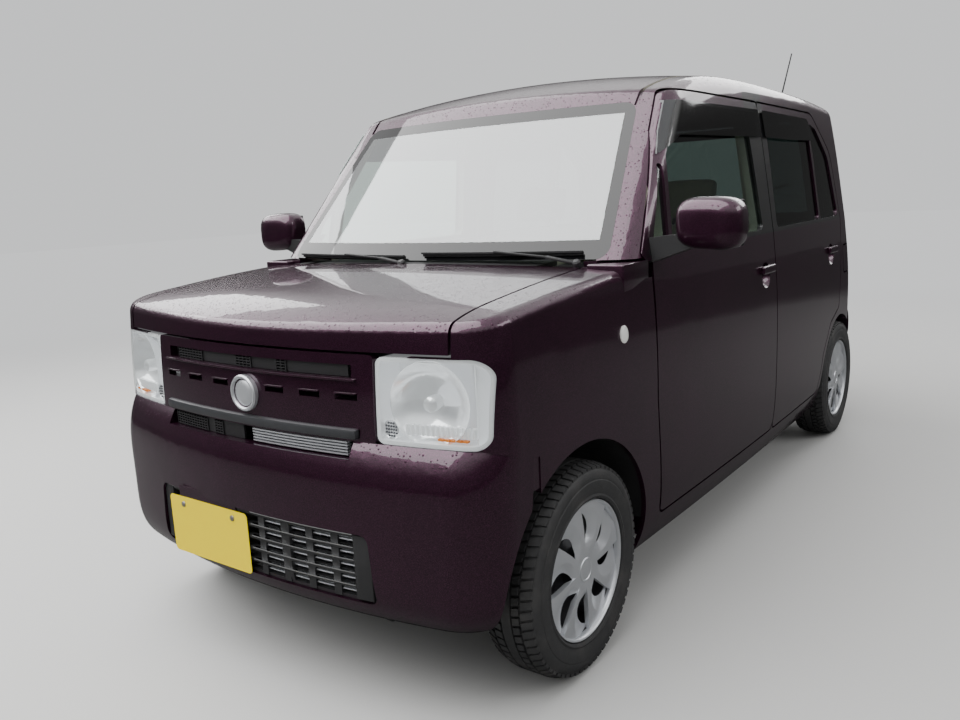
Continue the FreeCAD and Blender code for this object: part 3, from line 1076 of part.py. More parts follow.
# Small lamps on the wings behind the front wheels, and a short aerial at the back of the roof
TURN_LAMP_Y, TURN_LAMP_Z = -985, 858
TURN_LAMP_R, TURN_LAMP_RISE = 36, 8
turn_skin = ring_loft(LOWER_SECTIONS, FRONT_BOW, -seat)
turn_skin_x = turn_skin.common(across(1, TURN_LAMP_Y, TURN_LAMP_Z, 0, 900)).BoundBox.XMax
turn_lamp = Part.makeSphere(TURN_LAMP_R, V(turn_skin_x + TURN_LAMP_RISE - TURN_LAMP_R, TURN_LAMP_Y, TURN_LAMP_Z))
turn_lamp = turn_lamp.cut(turn_skin).common(half_space)
AERIAL_FOOT = V(360, 1380, 1500)
AERIAL_WAY = V(0.20, 0.08, 0.97)
AERIAL_LONG = 345
AERIAL_BASE = 117
aerial = revolved([(0, 17), (AERIAL_BASE, 12), (AERIAL_BASE, 4), (AERIAL_LONG, 3)], AERIAL_FOOT, AERIAL_WAY)
aerial = aerial.cut(cabin_solid(-seat, -seat))

# Pieces: label, shape. Right-hand pieces mirror the left ones.


def piece(label, *shapes):
    feature = doc.addObject("Part::Feature", label)
    feature.Label = label
    whole = shapes[0] if len(shapes) == 1 else Part.makeCompound(list(shapes))
    if whole.ShapeType == "Compound" and len(whole.Solids) == 1:
        whole = whole.Solids[0]
    feature.Shape = whole
    return feature


def mirrored_piece(label, source):
    feature = doc.addObject("Part::Mirroring", label)
    feature.Label = label
    feature.Source = source
    feature.Base = V(0, 0, 0)
    feature.Normal = V(1, 0, 0)
    return feature


def pair(name, *shapes):
    left = piece(name + "_left", *shapes)
    return left, mirrored_piece(name + "_right", left)


piece("side_left", side_fuel)
piece("side_right", mirrored(side))
piece("roof", roof)
piece("floor", floor)
piece("wings", wing, mirrored(wing))
piece("front_bumper", front_bumper)
piece("rear_bumper", rear_bumper)
piece("grille_panel", grille_panel)
piece("grilles", lower_grille, upper_grille, slot_grille)
piece("lamp_housings", lamp_house, mirrored(lamp_house))
piece("lamp_lenses", lens, mirrored(lens), turn_lamp, mirrored(turn_lamp))
piece("tail_lamps", tail_lamp, mirrored(tail_lamp))
piece("windscreen", windscreen)
piece("cowl", cowl)
piece("dashboard", dash)
piece("steering_wheel", steering)
piece("front_seats", *front_seats)
piece("rear_seat", *rear_seat)
piece("engine_block", engine)
piece("radiator", radiator)
piece("front_frame", front_frame)
piece("aerial", aerial)
piece("front_subframe", subframe)
piece("struts", strut, mirrored(strut))
piece("wheel_liners", liner, mirrored(liner))
piece("rear_beam", rear_beam)
piece("exhaust", exhaust)
piece("fuel_tank", tank)
piece("bonnet", bonnet)
piece("hatch", hatch)
piece("hatch_glass", hatch_glass)
piece("fuel_lid", fuel_lid)
pair("knuckle", knuckle)
pair("front_door", doors["front"])
pair("rear_door", doors["rear"])
pair("front_door_glass", *panes["front"], visors["front"])
pair("rear_door_glass", *panes["rear"], visors["rear"])
pair("mirror", mirror)
pair("mirror_glass", mirror_glass)
doc.recompute()

# Every piece is checked before any is written
pieces = [o for o in doc.Objects if o.TypeId in ("Part::Feature", "Part::Mirroring", "PartDesign::Body")]
for item in doc.Objects:
    if "Invalid" in item.State or "Error" in item.State:
        raise RuntimeError("failed: " + item.Label)
for item in pieces:
    if item.Shape.isNull() or not item.Shape.isValid() or not item.Shape.Solids:
        raise RuntimeError("no sound shape: " + item.Label)
os.makedirs("parts", exist_ok=True)
for item in pieces:
    item.Shape.exportStep("parts/%s.step" % item.Label)
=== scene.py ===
import json
import math

import bmesh
import bpy
from mathutils import Matrix, Vector
from mathutils.bvhtree import BVHTree


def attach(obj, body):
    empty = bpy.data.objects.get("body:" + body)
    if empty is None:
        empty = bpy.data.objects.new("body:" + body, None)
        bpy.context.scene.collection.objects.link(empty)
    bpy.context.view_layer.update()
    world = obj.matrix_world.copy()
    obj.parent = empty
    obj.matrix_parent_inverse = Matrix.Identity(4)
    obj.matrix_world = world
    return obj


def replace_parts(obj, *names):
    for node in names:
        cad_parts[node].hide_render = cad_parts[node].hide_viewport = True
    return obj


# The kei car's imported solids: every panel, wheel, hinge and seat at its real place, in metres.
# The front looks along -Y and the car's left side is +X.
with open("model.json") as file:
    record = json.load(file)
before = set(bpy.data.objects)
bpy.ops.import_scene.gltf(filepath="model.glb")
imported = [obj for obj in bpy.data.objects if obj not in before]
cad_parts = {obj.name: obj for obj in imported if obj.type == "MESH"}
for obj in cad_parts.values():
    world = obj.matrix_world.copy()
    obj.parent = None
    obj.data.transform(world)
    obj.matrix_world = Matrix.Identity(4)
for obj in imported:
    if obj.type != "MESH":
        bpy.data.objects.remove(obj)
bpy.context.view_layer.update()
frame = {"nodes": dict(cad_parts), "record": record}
NOSE_Y, TAIL_Y = -1.6975, 1.6975
HUB_X, FRONT_HUB_Y, REAR_HUB_Y, HUB_Z = 0.645, -1.1975, 1.2925, 0.2785
BELT_Z = 1.045

# The camera stands off the car's left front corner, a little above the bonnet, and leans by three degrees.
# Its lens is the photograph's: a focal length of 841 pixels on an image 960 pixels wide.
AZIMUTH, ELEVATION, LEAN = (math.radians(angle) for angle in (36.7422, 11.0436, -2.7860))
CAMERA_PLACE = (1.716140, -2.958679, 1.233203)
FOCAL_PX, IMAGE_WIDTH_PX, SENSOR_MM = 840.627, 960, 36
camera_back = Vector((
    math.sin(AZIMUTH) * math.cos(ELEVATION), -math.cos(AZIMUTH) * math.cos(ELEVATION), math.sin(ELEVATION)))
level_right = Vector((0, 0, 1)).cross(camera_back).normalized()
level_up = camera_back.cross(level_right)
camera_right = level_right * math.cos(LEAN) + level_up * math.sin(LEAN)
camera_up = level_up * math.cos(LEAN) - level_right * math.sin(LEAN)
lens = bpy.data.cameras.new("camera")
lens.sensor_width = SENSOR_MM
lens.lens = FOCAL_PX / IMAGE_WIDTH_PX * SENSOR_MM
camera = bpy.data.objects.new("camera", lens)
turn = Matrix((camera_right, camera_up, camera_back)).transposed()
camera.matrix_world = Matrix.Translation(CAMERA_PLACE) @ turn.to_4x4()
bpy.context.scene.collection.objects.link(camera)
bpy.context.scene.camera = camera


# Every finish is a material worked out in the shader: an amount is one of its sockets, and sums and
# products of amounts add Math nodes. The floor is the first thing to get one.
class Amount:
    """A number in a finish."""

    def __init__(self, finish, socket):
        self.finish = finish
        self.socket = socket

    def math(self, operation, *others):
        sockets = dict(enumerate((self,) + others))
        return self.finish.node("ShaderNodeMath", {"operation": operation}, sockets)

    def __add__(self, other):
        return self.math("ADD", other)

    def __sub__(self, other):
        return self.math("SUBTRACT", other)

    def __mul__(self, other):
        return self.math("MULTIPLY", other)

    def __rsub__(self, other):
        return self * -1 + other

    def __pow__(self, other):
        return self.math("POWER", other)

    def __abs__(self):
        return self.math("ABSOLUTE")

    def __gt__(self, other):
        return self.math("GREATER_THAN", other)

    def __lt__(self, other):
        return self.math("LESS_THAN", other)

    __radd__ = __add__
    __rmul__ = __mul__

    def most(self, other):
        return self.math("MAXIMUM", other)

    def between(self, low, high):
        return (self > low) * (self < high)

    def rise(self, low, high):
        """0 below low, 1 above high, smooth between."""
        return self.finish.node("ShaderNodeMapRange", {"interpolation_type": "SMOOTHSTEP"},
                                {"Value": self, "From Min": low, "From Max": high})


class Finish:
    """One material, built node by node round its main shader."""

    def __init__(self, name, sockets):
        self.material = bpy.data.materials.new(name)
        self.material.use_nodes = True
        self.tree = self.material.node_tree
        self.shader = self.tree.nodes["Principled BSDF"]
        self.fill(self.shader, sockets)

    def fill(self, node, sockets):
        for name, value in sockets.items():
            if isinstance(value, Amount):
                self.tree.links.new(value.socket, node.inputs[name])
            else:
                node.inputs[name].default_value = value

    def node(self, kind, settings, sockets, output=0):
        made = self.tree.nodes.new(kind)
        for name, value in settings.items():
            setattr(made, name, value)
        self.fill(made, sockets)
        return Amount(self, made.outputs[output])

    def over(self, sockets):
        """What changes over the surface."""
        self.fill(self.shader, sockets)
        return self

    def along(self, output="Object"):
        """The place on the piece, or with Normal the way its surface looks."""
        return self.node("ShaderNodeTexCoord", {}, {}, output)

    def parts(self, vector):
        split = self.node("ShaderNodeSeparateXYZ", {}, {"Vector": vector}).socket.node
        return [Amount(self, output) for output in split.outputs]

    def noise(self, scale, detail=2.0):
        return self.node("ShaderNodeTexNoise", {}, {"Vector": self.along(), "Scale": scale, "Detail": detail})

    def cells(self, scale, output="Distance"):
        return self.node("ShaderNodeTexVoronoi", {}, {"Vector": self.along(), "Scale": scale}, output)

    def mix(self, share, one, other):
        return self.node("ShaderNodeMix", {"data_type": "RGBA"}, {0: share, 6: one, 7: other}, 2)

    def bump(self, height, distance, strength=1.0):
        return self.node("ShaderNodeBump", {}, {"Height": height, "Distance": distance, "Strength": strength})

    def end(self, shader):
        self.tree.links.new(shader.socket, self.tree.nodes["Material Output"].inputs["Surface"])
        return self


def colour(red, green, blue):
    return (red, green, blue, 1.0)


FLOOR_GREY, BACKDROP, BLACK = colour(0.66, 0.66, 0.65), colour(0.84, 0.85, 0.86), colour(0, 0, 0)
floor_finish = Finish("floor", {"Roughness": 0.8, "Specular IOR Level": 0.15, "Emission Strength": 1.0})
x, y, _ = floor_finish.parts(floor_finish.along())
far = (x * x + y * y).math("SQRT").rise(2.6, 8.0)
rays = floor_finish.node("ShaderNodeLightPath", {}, {}).socket.node
seen_directly = Amount(floor_finish, rays.outputs["Is Camera Ray"]).most(
    Amount(floor_finish, rays.outputs["Is Transmission Ray"]))
seen_in_gloss = Amount(floor_finish, rays.outputs["Is Glossy Ray"])
floor_finish.over({
    "Base Color": floor_finish.mix(far.most(seen_in_gloss * 0.85), FLOOR_GREY, BLACK),
    "Emission Color": floor_finish.mix(far * seen_directly, BLACK, BACKDROP),
})
shape = bmesh.new()
bmesh.ops.create_grid(shape, x_segments=1, y_segments=1, size=30)
floor_mesh = bpy.data.meshes.new("floor")
shape.to_mesh(floor_mesh)
shape.free()
floor_mesh.materials.append(floor_finish.material)
floor = bpy.data.objects.new("studio_floor", floor_mesh)
bpy.context.scene.collection.objects.link(floor)

# Studio light: one wide lamp over the bonnet, one beyond the car's left side and a weak one behind it.
# What the camera, gloss and glass see round the car is a pale backdrop.
LAMPS = [
    ("over_front", (-1.6, -2.6, 5.0), (0, -0.7, 0.8), (8.0, 6.0), 620),
    ("left_side", (6.5, 1.6, 4.4), (0.6, 0.2, 0.8), (5.0, 2.0), 110),
    ("right_side", (-6.5, 0.5, 4.0), (-0.6, 0.2, 0.8), (5.0, 2.0), 110),
    ("behind", (0.8, 6.5, 4.2), (0, 1.5, 1.0), (5.0, 2.5), 150),
]
for name, place, aim, (wide, tall), power in LAMPS:
    lamp = bpy.data.lights.new(name, "AREA")
    lamp.shape = "RECTANGLE"
    lamp.size = wide
    lamp.size_y = tall
    lamp.energy = power
    holder = bpy.data.objects.new(name, lamp)
    holder.location = place
    holder.rotation_euler = (Vector(aim) - Vector(place)).to_track_quat("-Z", "Y").to_euler()
    bpy.context.scene.collection.objects.link(holder)
WORLD_LIGHT = 0.42
world = bpy.data.worlds.new("studio")
world.use_nodes = True
bpy.context.scene.world = world
tree = world.node_tree
background = tree.nodes["Background"]
background.inputs["Color"].default_value = colour(WORLD_LIGHT, WORLD_LIGHT, WORLD_LIGHT)
seen = tree.nodes.new("ShaderNodeBackground")
seen.inputs["Color"].default_value = BACKDROP
path = tree.nodes.new("ShaderNodeLightPath")
reached = tree.nodes.new("ShaderNodeMath")
reached.operation = "MAXIMUM"
tree.links.new(path.outputs["Is Camera Ray"], reached.inputs[0])
tree.links.new(path.outputs["Is Transmission Ray"], reached.inputs[1])
sky_way = tree.nodes.new("ShaderNodeTexCoord")
sky_parts = tree.nodes.new("ShaderNodeSeparateXYZ")
tree.links.new(sky_way.outputs["Generated"], sky_parts.inputs[0])
height = tree.nodes.new("ShaderNodeMapRange")
height.interpolation_type = "SMOOTHSTEP"
height.inputs["From Min"].default_value = 0.16
height.inputs["From Max"].default_value = 0.55
height.inputs["To Min"].default_value = 0.07
height.inputs["To Max"].default_value = 1.15
tree.links.new(sky_parts.outputs["Z"], height.inputs["Value"])
mirrored_sky = tree.nodes.new("ShaderNodeBackground")
tree.links.new(height.outputs[0], mirrored_sky.inputs["Color"])
in_gloss = tree.nodes.new("ShaderNodeMixShader")
tree.links.new(path.outputs["Is Glossy Ray"], in_gloss.inputs[0])
tree.links.new(background.outputs[0], in_gloss.inputs[1])
tree.links.new(mirrored_sky.outputs[0], in_gloss.inputs[2])
shown = tree.nodes.new("ShaderNodeMixShader")
tree.links.new(reached.outputs[0], shown.inputs[0])
tree.links.new(in_gloss.outputs[0], shown.inputs[1])
tree.links.new(seen.outputs[0], shown.inputs[2])
tree.links.new(shown.outputs[0], tree.nodes["World Output"].inputs["Surface"])

# Body panels: pressed steel in a very dark plum metallic paint with mica flake under a clear coat.
# Rain stands on them in beads where they look up; inside they are covered in pale trim and headlining.
PLUM = colour(0.020, 0.0035, 0.0125)
PLUM_FLAKE = colour(0.125, 0.032, 0.088)
INNER_TRIM = colour(0.40, 0.385, 0.32)
BLACK_FILM = colour(0.006, 0.006, 0.007)
DROP_CELL = 130
DROP_RISE = 0.007


def rain(finish, least_up=0.25):
    """The height of round drops of rain, none where the surface stands upright."""
    middle = finish.cells(DROP_CELL)
    spread = finish.parts(finish.cells(DROP_CELL, "Color"))[0] * 0.42
    drop = (spread * spread - middle * middle).most(0)
    up = finish.parts(finish.along("Normal"))[2].rise(least_up, least_up + 0.3)
    return drop * up


def inner_side(finish):
    """1 on the surfaces that look into the cabin."""
    x, y, z = finish.parts(finish.along())
    up = finish.parts(finish.along("Normal"))[2]
    above_belt = (z - BELT_Z).most(0)
    across = x * x * (1 / 0.36)
    side_limit = 0.697 - above_belt * 0.15 - (y - 0.06) ** 2 * 0.0124
    front_limit = NOSE_Y + 0.735 + above_belt * 0.887 + across * 0.075
    rear_limit = TAIL_Y - 0.074 - above_belt * 0.23 - across * 0.026
    roof_top = (z > 1.48) * (up > 0.15)
    wing_foot = (z < 1.07) * (y < -0.76)
    sill = z < 0.31
    off_corners = (abs(x) < 0.54).most(y < 1.40)
    inner = (abs(x) < side_limit) * (y > front_limit) * (y < rear_limit) * off_corners
    return inner * (1 - roof_top) * (1 - wing_foot) * (1 - sill)


paint = Finish("plum_paint", {"Roughness": 0.34, "Coat Roughness": 0.03, "Specular IOR Level": 0.5})
x, y, z = paint.parts(paint.along())
inside = inner_side(paint)
flake = (paint.parts(paint.cells(1400, "Color"))[1] > 0.72) * 0.5 + paint.noise(5, 3) * 0.18
body_colour = paint.mix(flake, PLUM, PLUM_FLAKE)
pillar = y.between(0.118, 0.320) * (z > 1.050)
seal = z.between(1.0475, 1.064) * y.between(-0.80, 1.31)
film = pillar.most(seal)
outside_colour = paint.mix(film, body_colour, BLACK_FILM)
grain = paint.noise(700, 2) * inside * 0.02
drops = rain(paint)
paint.over({
    "Base Color": paint.mix(inside, outside_colour, INNER_TRIM),
    "Metallic": (1 - inside) * (1 - film) * 0.72,
    "Coat Weight": (1 - inside) * (1 - drops.rise(0.0, 0.04) * 0.85),
    "Roughness": inside * 0.30 + film * 0.06 + 0.33,
    "Normal": paint.bump(drops + grain, DROP_RISE),
})
body_of = {}
for body, nodes in frame["record"]["behaviour"]["bodies"].items():
    for node in nodes:
        body_of[node] = body
SEAM_ANGLE = math.radians(34)


def add(shape, name, finishes, body="root", smooth=True):
    """Makes a finished shape a piece of the car that moves with its body."""
    mesh = bpy.data.meshes.new(name)
    shape.to_mesh(mesh)
    shape.free()
    if "custom_normal" in mesh.attributes:
        mesh.attributes.remove(mesh.attributes["custom_normal"])
    if smooth:
        mesh.shade_smooth()
        mesh.set_sharp_from_angle(angle=SEAM_ANGLE)
    mesh.materials.clear()
    for finish in finishes:
        mesh.materials.append(finish.material)
    piece = bpy.data.objects.new(name, mesh)
    bpy.context.scene.collection.objects.link(piece)
    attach(piece, body)
    return piece


def panel(node, finish):
    """A panel's own surface with its loose triangles joined, so that gloss runs smoothly over it."""
    shape = bmesh.new()
    shape.from_mesh(frame["nodes"][node].data)
    bmesh.ops.remove_doubles(shape, verts=shape.verts, dist=0.00002)
    for face in shape.faces:
        face.material_index = 0
    piece = add(shape, node + "_skin", [finish], body_of[node])
    weighted = piece.modifiers.new("even_gloss", "WEIGHTED_NORMAL")
    weighted.keep_sharp = True
    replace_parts(piece, node)
    return piece


for node in ("side_left", "side_right", "roof", "wings", "front_bumper", "rear_bumper", "grille_panel", "bonnet",
             "hatch", "fuel_lid", "front_door_left", "front_door_right", "rear_door_left", "rear_door_right"):
    panel(node, paint)

# Glass: laminated windscreen with a black frit edge, clear front panes, dark rear panes.
# Smoked plastic visors stand over the side windows.
def gloss_share(finish, reflected):
    """How much a pane mirrors. Only the side that faces the viewer does, so that two sides aren't too much."""
    edge_on = finish.node("ShaderNodeFresnel", {}, {"IOR": 1.5})
    facing = 1 - finish.node("ShaderNodeNewGeometry", {}, {}, "Backfacing")
    return (edge_on + reflected).math("MINIMUM", 1.0) * facing


def glass(name, tint, reflected):
    """Thin glass: tinted light passes through it and the sky shines on it."""
    finish = Finish(name, {"Base Color": colour(0.02, 0.025, 0.025), "Roughness": 0.02, "Coat Weight": 0.0})
    clear = finish.node("ShaderNodeBsdfTransparent", {}, {"Color": tint})
    sky = finish.node("ShaderNodeBsdfGlossy", {}, {"Color": colour(0.95, 0.97, 0.98), "Roughness": 0.03})
    share = gloss_share(finish, reflected)
    return finish, finish.node("ShaderNodeMixShader", {}, {0: share, 1: clear, 2: sky})


SCREEN_FOOT_Z, SCREEN_HEAD_Z = 1.047, 1.492
FRIT = 0.034
screen_glass, clear_part = glass("windscreen_glass", colour(0.84, 0.90, 0.87), 0.22)
x, y, z = screen_glass.parts(screen_glass.along())
half_screen = 0.632 - (z - SCREEN_FOOT_Z) * 0.193
frit = (abs(x) > half_screen - FRIT).most(z < SCREEN_FOOT_Z + FRIT * 1.5).most(z > SCREEN_HEAD_Z - FRIT)
screen_glass.over({"Base Color": colour(0.008, 0.008, 0.009)})
black_part = Amount(screen_glass, screen_glass.shader.outputs[0])
screen_glass.end(screen_glass.node("ShaderNodeMixShader", {}, {0: frit, 1: clear_part, 2: black_part}))
panel("windscreen", screen_glass)

side_glass, clear_part = glass("side_glass", colour(0.72, 0.79, 0.76), 0.03)
x, y, z = side_glass.parts(side_glass.along())
dark = side_glass.node("ShaderNodeBsdfTransparent", {}, {"Color": colour(0.30, 0.34, 0.33)})
smoke = side_glass.node("ShaderNodeBsdfTransparent", {}, {"Color": colour(0.20, 0.20, 0.21)})
sheen = side_glass.node("ShaderNodeBsdfGlossy", {}, {"Color": colour(0.9, 0.9, 0.9), "Roughness": 0.06})
dark_part = side_glass.node("ShaderNodeMixShader", {}, {0: gloss_share(side_glass, 0.02), 1: dark, 2: sheen})
smoke_part = side_glass.node("ShaderNodeMixShader", {}, {0: gloss_share(side_glass, 0.05), 1: smoke, 2: sheen})
behind_pillar = y > 0.22
visor_skin = 0.7175 - (z - BELT_Z) * 0.152 - (y - 0.06) ** 2 * 0.0124
on_visor = (abs(x) > visor_skin) * (z > 1.29)
both = side_glass.node("ShaderNodeMixShader", {}, {0: behind_pillar, 1: clear_part, 2: dark_part})
side_glass.end(side_glass.node("ShaderNodeMixShader", {}, {0: on_visor, 1: both, 2: smoke_part}))
for node in ("front_door_glass_left", "front_door_glass_right", "rear_door_glass_left", "rear_door_glass_right"):
    panel(node, side_glass)
rear_glass, dark_part = glass("rear_glass", colour(0.30, 0.34, 0.33), 0.06)
rear_glass.end(dark_part)
panel("hatch_glass", rear_glass)


# Plastic, rubber and metal finishes that several pieces share, each with its own grain and wear.
def plain(name, base, roughness, metallic=0.0, grain_scale=600, grain_rise=0.0004, patch=0.25):
    """A moulded or rolled surface: a fine grain and soft patches of lighter and duller colour."""
    finish = Finish(name, {"Metallic": metallic})
    worn = tuple(min(1.0, part * 1.45 + 0.01) for part in base[:3]) + (1.0,)
    finish.over({
        "Base Color": finish.mix(finish.noise(9, 4) * patch * 2, base, worn),
        "Roughness": finish.noise(30, 3) * 0.16 + (roughness - 0.08),
        "Normal": finish.bump(finish.noise(grain_scale, 2), grain_rise),
    })
    return finish


black_plastic = plain("black_plastic", colour(0.018, 0.018, 0.019), 0.48)
satin_black = plain("satin_black", colour(0.030, 0.031, 0.034), 0.34, grain_rise=0.0001)
chrome = plain("bright_metal", colour(0.80, 0.81, 0.82), 0.12, 1.0, 200, 0.0001)
silver_paint = plain("silver_paint", colour(0.56, 0.575, 0.60), 0.34, 0.65, 900, 0.0001)
dark_steel = plain("dark_steel", colour(0.055, 0.055, 0.06), 0.5, 0.6, 120, 0.0006)
underbody_coat = plain("underbody_coat", colour(0.022, 0.022, 0.023), 0.75, 0.0, 260, 0.0012)
bare_metal = plain("worn_steel", colour(0.30, 0.29, 0.28), 0.45, 0.8, 160, 0.0006)
cast_metal = plain("cast_metal", colour(0.22, 0.22, 0.215), 0.6, 0.6, 180, 0.0012)
tank_plastic = plain("tank_plastic", colour(0.030, 0.030, 0.032), 0.6)
lamp_silver_painted_glow = plain("lamp_silver_painted_glow", colour(0.86, 0.87, 0.88), 0.22, 0.25, 300, 0.0001)
trim_plastic = plain("trim_plastic", colour(0.30, 0.285, 0.235), 0.62, 0.0, 800, 0.0006)
dark_trim = plain("dark_trim", colour(0.045, 0.045, 0.044), 0.6, 0.0, 800, 0.0006)
# The lamp silver glows faintly. This is a painted glow that brightens the headlamp housings and ribs; the lamps are not
# lit.
lamp_silver_painted_glow.over({"Emission Color": colour(0.95, 0.97, 1.0), "Emission Strength": 0.16})
CAD_FINISHES = {
    "floor": underbody_coat, "cowl": black_plastic, "grilles": black_plastic, "dashboard": trim_plastic,
    "steering_wheel": dark_trim, "engine_block": cast_metal, "radiator": dark_steel, "front_frame": underbody_coat,
    "aerial": black_plastic, "front_subframe": underbody_coat, "struts": dark_steel, "wheel_liners": black_plastic,
    "rear_beam": underbody_coat, "exhaust": bare_metal, "fuel_tank": tank_plastic, "lamp_housings": lamp_silver_painted_glow,
    "knuckle_left": cast_metal, "knuckle_right": cast_metal,
}
for node, finish in CAD_FINISHES.items():
    cad = frame["nodes"][node]
    cad.data.materials.clear()
    cad.data.materials.append(finish.material)

# Headlamps: a clear moulded cover over a bright reflector with a round bowl, its bulb cap, a small round
# lamp in the inner lower corner, a ribbed strip and an amber line along the foot. The reflector and ribs carry a
# faint painted glow, though the lamps are not lit. The side lamps are white.
lamp_cover, clear_part = glass("lamp_cover", colour(0.97, 0.98, 0.98), 0.03)
lamp_cover.end(clear_part)
side_lamp_white = plain("side_lamp_white", colour(0.80, 0.80, 0.77), 0.2, 0.0, 300, 0.0001, 0.05)
shape = bmesh.new()
shape.from_mesh(frame["nodes"]["lamp_lenses"].data)
bmesh.ops.remove_doubles(shape, verts=shape.verts, dist=0.00002)
bmesh.ops.delete(shape, context="FACES", geom=[
    face for face in shape.faces if abs(face.calc_center_median().x) > 0.69 and face.calc_center_median().y > -1.08])
for face in shape.faces:
    face.material_index = 0
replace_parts(add(shape, "headlamp_covers", [lamp_cover]), "lamp_lenses")
amber = plain("amber_plastic", colour(0.75, 0.20, 0.01), 0.25, 0.0, 200, 0.0001)
lamp_chrome_painted_glow = plain("lamp_chrome_painted_glow", colour(0.93, 0.94, 0.95), 0.10, 0.6, 200, 0.0001)
# The reflector chrome glows faintly too. This is a painted glow; the headlamps are not lit.
lamp_chrome_painted_glow.over({"Emission Color": colour(0.95, 0.97, 1.0), "Emission Strength": 0.18})
lamp_dark = plain("lamp_dark", colour(0.10, 0.10, 0.11), 0.3, 0.3, 200, 0.0001)


def turned(shape, profile, centre, way, steps=48):
    """Adds what a profile of (along, out) rows describes as it turns about an axis."""
    axis = Vector(way).normalized()
    out = axis.orthogonal().normalized()
    corners = [shape.verts.new(Vector(centre) + axis * along + out * far) for along, far in profile]
    edges = [shape.edges.new(pair) for pair in zip(corners, corners[1:])]
    before = set(shape.faces)
    bmesh.ops.spin(shape, geom=corners + edges, cent=centre, axis=axis, angle=2 * math.pi, steps=steps,
                   use_merge=True)
    bmesh.ops.remove_doubles(shape, verts=shape.verts, dist=0.00001)
    made = [face for face in shape.faces if face not in before]
    bmesh.ops.recalc_face_normals(shape, faces=made)
    return made


def box(shape, low, high, bevel=0.0, segments=2):
    """Adds a block between two corners, its edges rounded."""
    low, high = Vector(low), Vector(high)
    size = Matrix.Diagonal((high - low).to_4d())
    made = bmesh.ops.create_cube(shape, size=1, matrix=Matrix.Translation((low + high) / 2) @ size)["verts"]
    if bevel:
        edges = list({edge for vert in made for edge in vert.link_edges})
        bmesh.ops.bevel(shape, geom=edges, offset=bevel, segments=segments, profile=0.5, affect="EDGES",
                        material=-1)
    return made


def rod(shape, a, b, wide, tall, bevel=0.0):
    """Adds a straight bar from a to b."""
    a, b = Vector(a), Vector(b)
    turn = (b - a).to_track_quat("X", "Z").to_matrix().to_4x4()
    size = Matrix.Diagonal(((b - a).length, wide, tall, 1))
    made = bmesh.ops.create_cube(shape, size=1, matrix=Matrix.Translation((a + b) / 2) @ turn @ size)["verts"]
    if bevel:
        edges = list({edge for vert in made for edge in vert.link_edges})
        bmesh.ops.bevel(shape, geom=edges, offset=bevel, segments=2, profile=0.5, affect="EDGES", material=-1)


def front_y(x, setback):
    """The bowed front at a place across the car, set back from the foremost point."""
    return NOSE_Y + setback + 0.070 * (x / 0.6) ** 2


SIDE_LAMP_Y, SIDE_LAMP_Z = -0.985, 0.858
SIDE_LAMP = [(-0.004, 0.0235), (0.003, 0.0235), (0.005, 0.0215), (0.0075, 0.013), (0.0085, 0.0)]
wing_mesh = frame["nodes"]["wings"].data
wing_surface = BVHTree.FromPolygons(
    [vert.co for vert in wing_mesh.vertices], [face.vertices for face in wing_mesh.polygons])
shape = bmesh.new()
for way in (-1, 1):
    place, normal, _, _ = wing_surface.ray_cast(Vector((way, SIDE_LAMP_Y, SIDE_LAMP_Z)), Vector((-way, 0, 0)))
    turned(shape, SIDE_LAMP, place, normal, 40)
for vert in shape.verts:
    vert.co.y = SIDE_LAMP_Y + (vert.co.y - SIDE_LAMP_Y) * 0.82
add(shape, "side_lamps", [side_lamp_white])

BOWL = [(0.058, 0.0), (0.056, 0.022), (0.050, 0.046), (0.038, 0.068), (0.020, 0.086), (0.002, 0.096), (-0.003, 0.099)]
CAP = [(0.0, 0.0), (0.0015, 0.010), (0.006, 0.017), (0.014, 0.019), (0.040, 0.017)]
SMALL_LAMP = [(0.012, 0.0), (0.010, 0.014), (0.004, 0.019), (0.0, 0.021), (-0.003, 0.023), (0.012, 0.024)]
BOWL_PLACE, BOWL_WAY = Vector((0.546, -1.584, 0.786)), Vector((-0.22, 1.0, 0.0))
for side, mark in ((1, "left"), (-1, "right")):
    turn = Matrix.Diagonal((side, 1, 1))
    shape = bmesh.new()
    turned(shape, BOWL, turn @ BOWL_PLACE, turn @ BOWL_WAY)
    turned(shape, CAP, turn @ BOWL_PLACE - (turn @ BOWL_WAY) * 0.004, turn @ BOWL_WAY, 32)
    turned(shape, SMALL_LAMP, turn @ Vector((0.444, -1.600, 0.722)), (0, 1, 0), 32)
    add(shape, "headlamp_reflector_" + mark, [lamp_chrome_painted_glow])
    shape = bmesh.new()
    for i in range(5):
        for j in range(5):
            across, over = (i - 2) * 0.0075, (j - 2) * 0.0075
            if math.hypot(across, over) < 0.018:
                bmesh.ops.create_icosphere(shape, subdivisions=1, radius=0.0030,
                                           matrix=Matrix.Translation((side * (0.444 + across), -1.603, 0.722 + over)))
    add(shape, "position_lamp_" + mark, [lamp_dark])
    shape = bmesh.new()
    for step in range(14):
        x0 = 0.478 + step * 0.0125
        back_y = front_y(x0, 0.058)
        box(shape, (min(side * x0, side * (x0 + 0.0105)), back_y, 0.712),
            (max(side * x0, side * (x0 + 0.0105)), back_y + 0.012, 0.738), 0.003)
    rod(shape, (side * 0.648, -1.548, 0.788), (side * 0.676, -1.448, 0.788), 0.004, 0.180)
    rod(shape, (side * 0.420, -1.606, 0.788), (side * 0.420, -1.550, 0.788), 0.004, 0.180)
    add(shape, "headlamp_ribs_" + mark, [lamp_silver_painted_glow])
    shape = bmesh.new()
    for step in range(5):
        x0 = 0.560 + step * 0.0145
        back_y = front_y(x0, 0.056)
        box(shape, (min(side * x0, side * (x0 + 0.0145)), back_y, 0.7045),
            (max(side * x0, side * (x0 + 0.0145)), back_y + 0.010, 0.7095))
    add(shape, "headlamp_amber_line_" + mark, [amber])


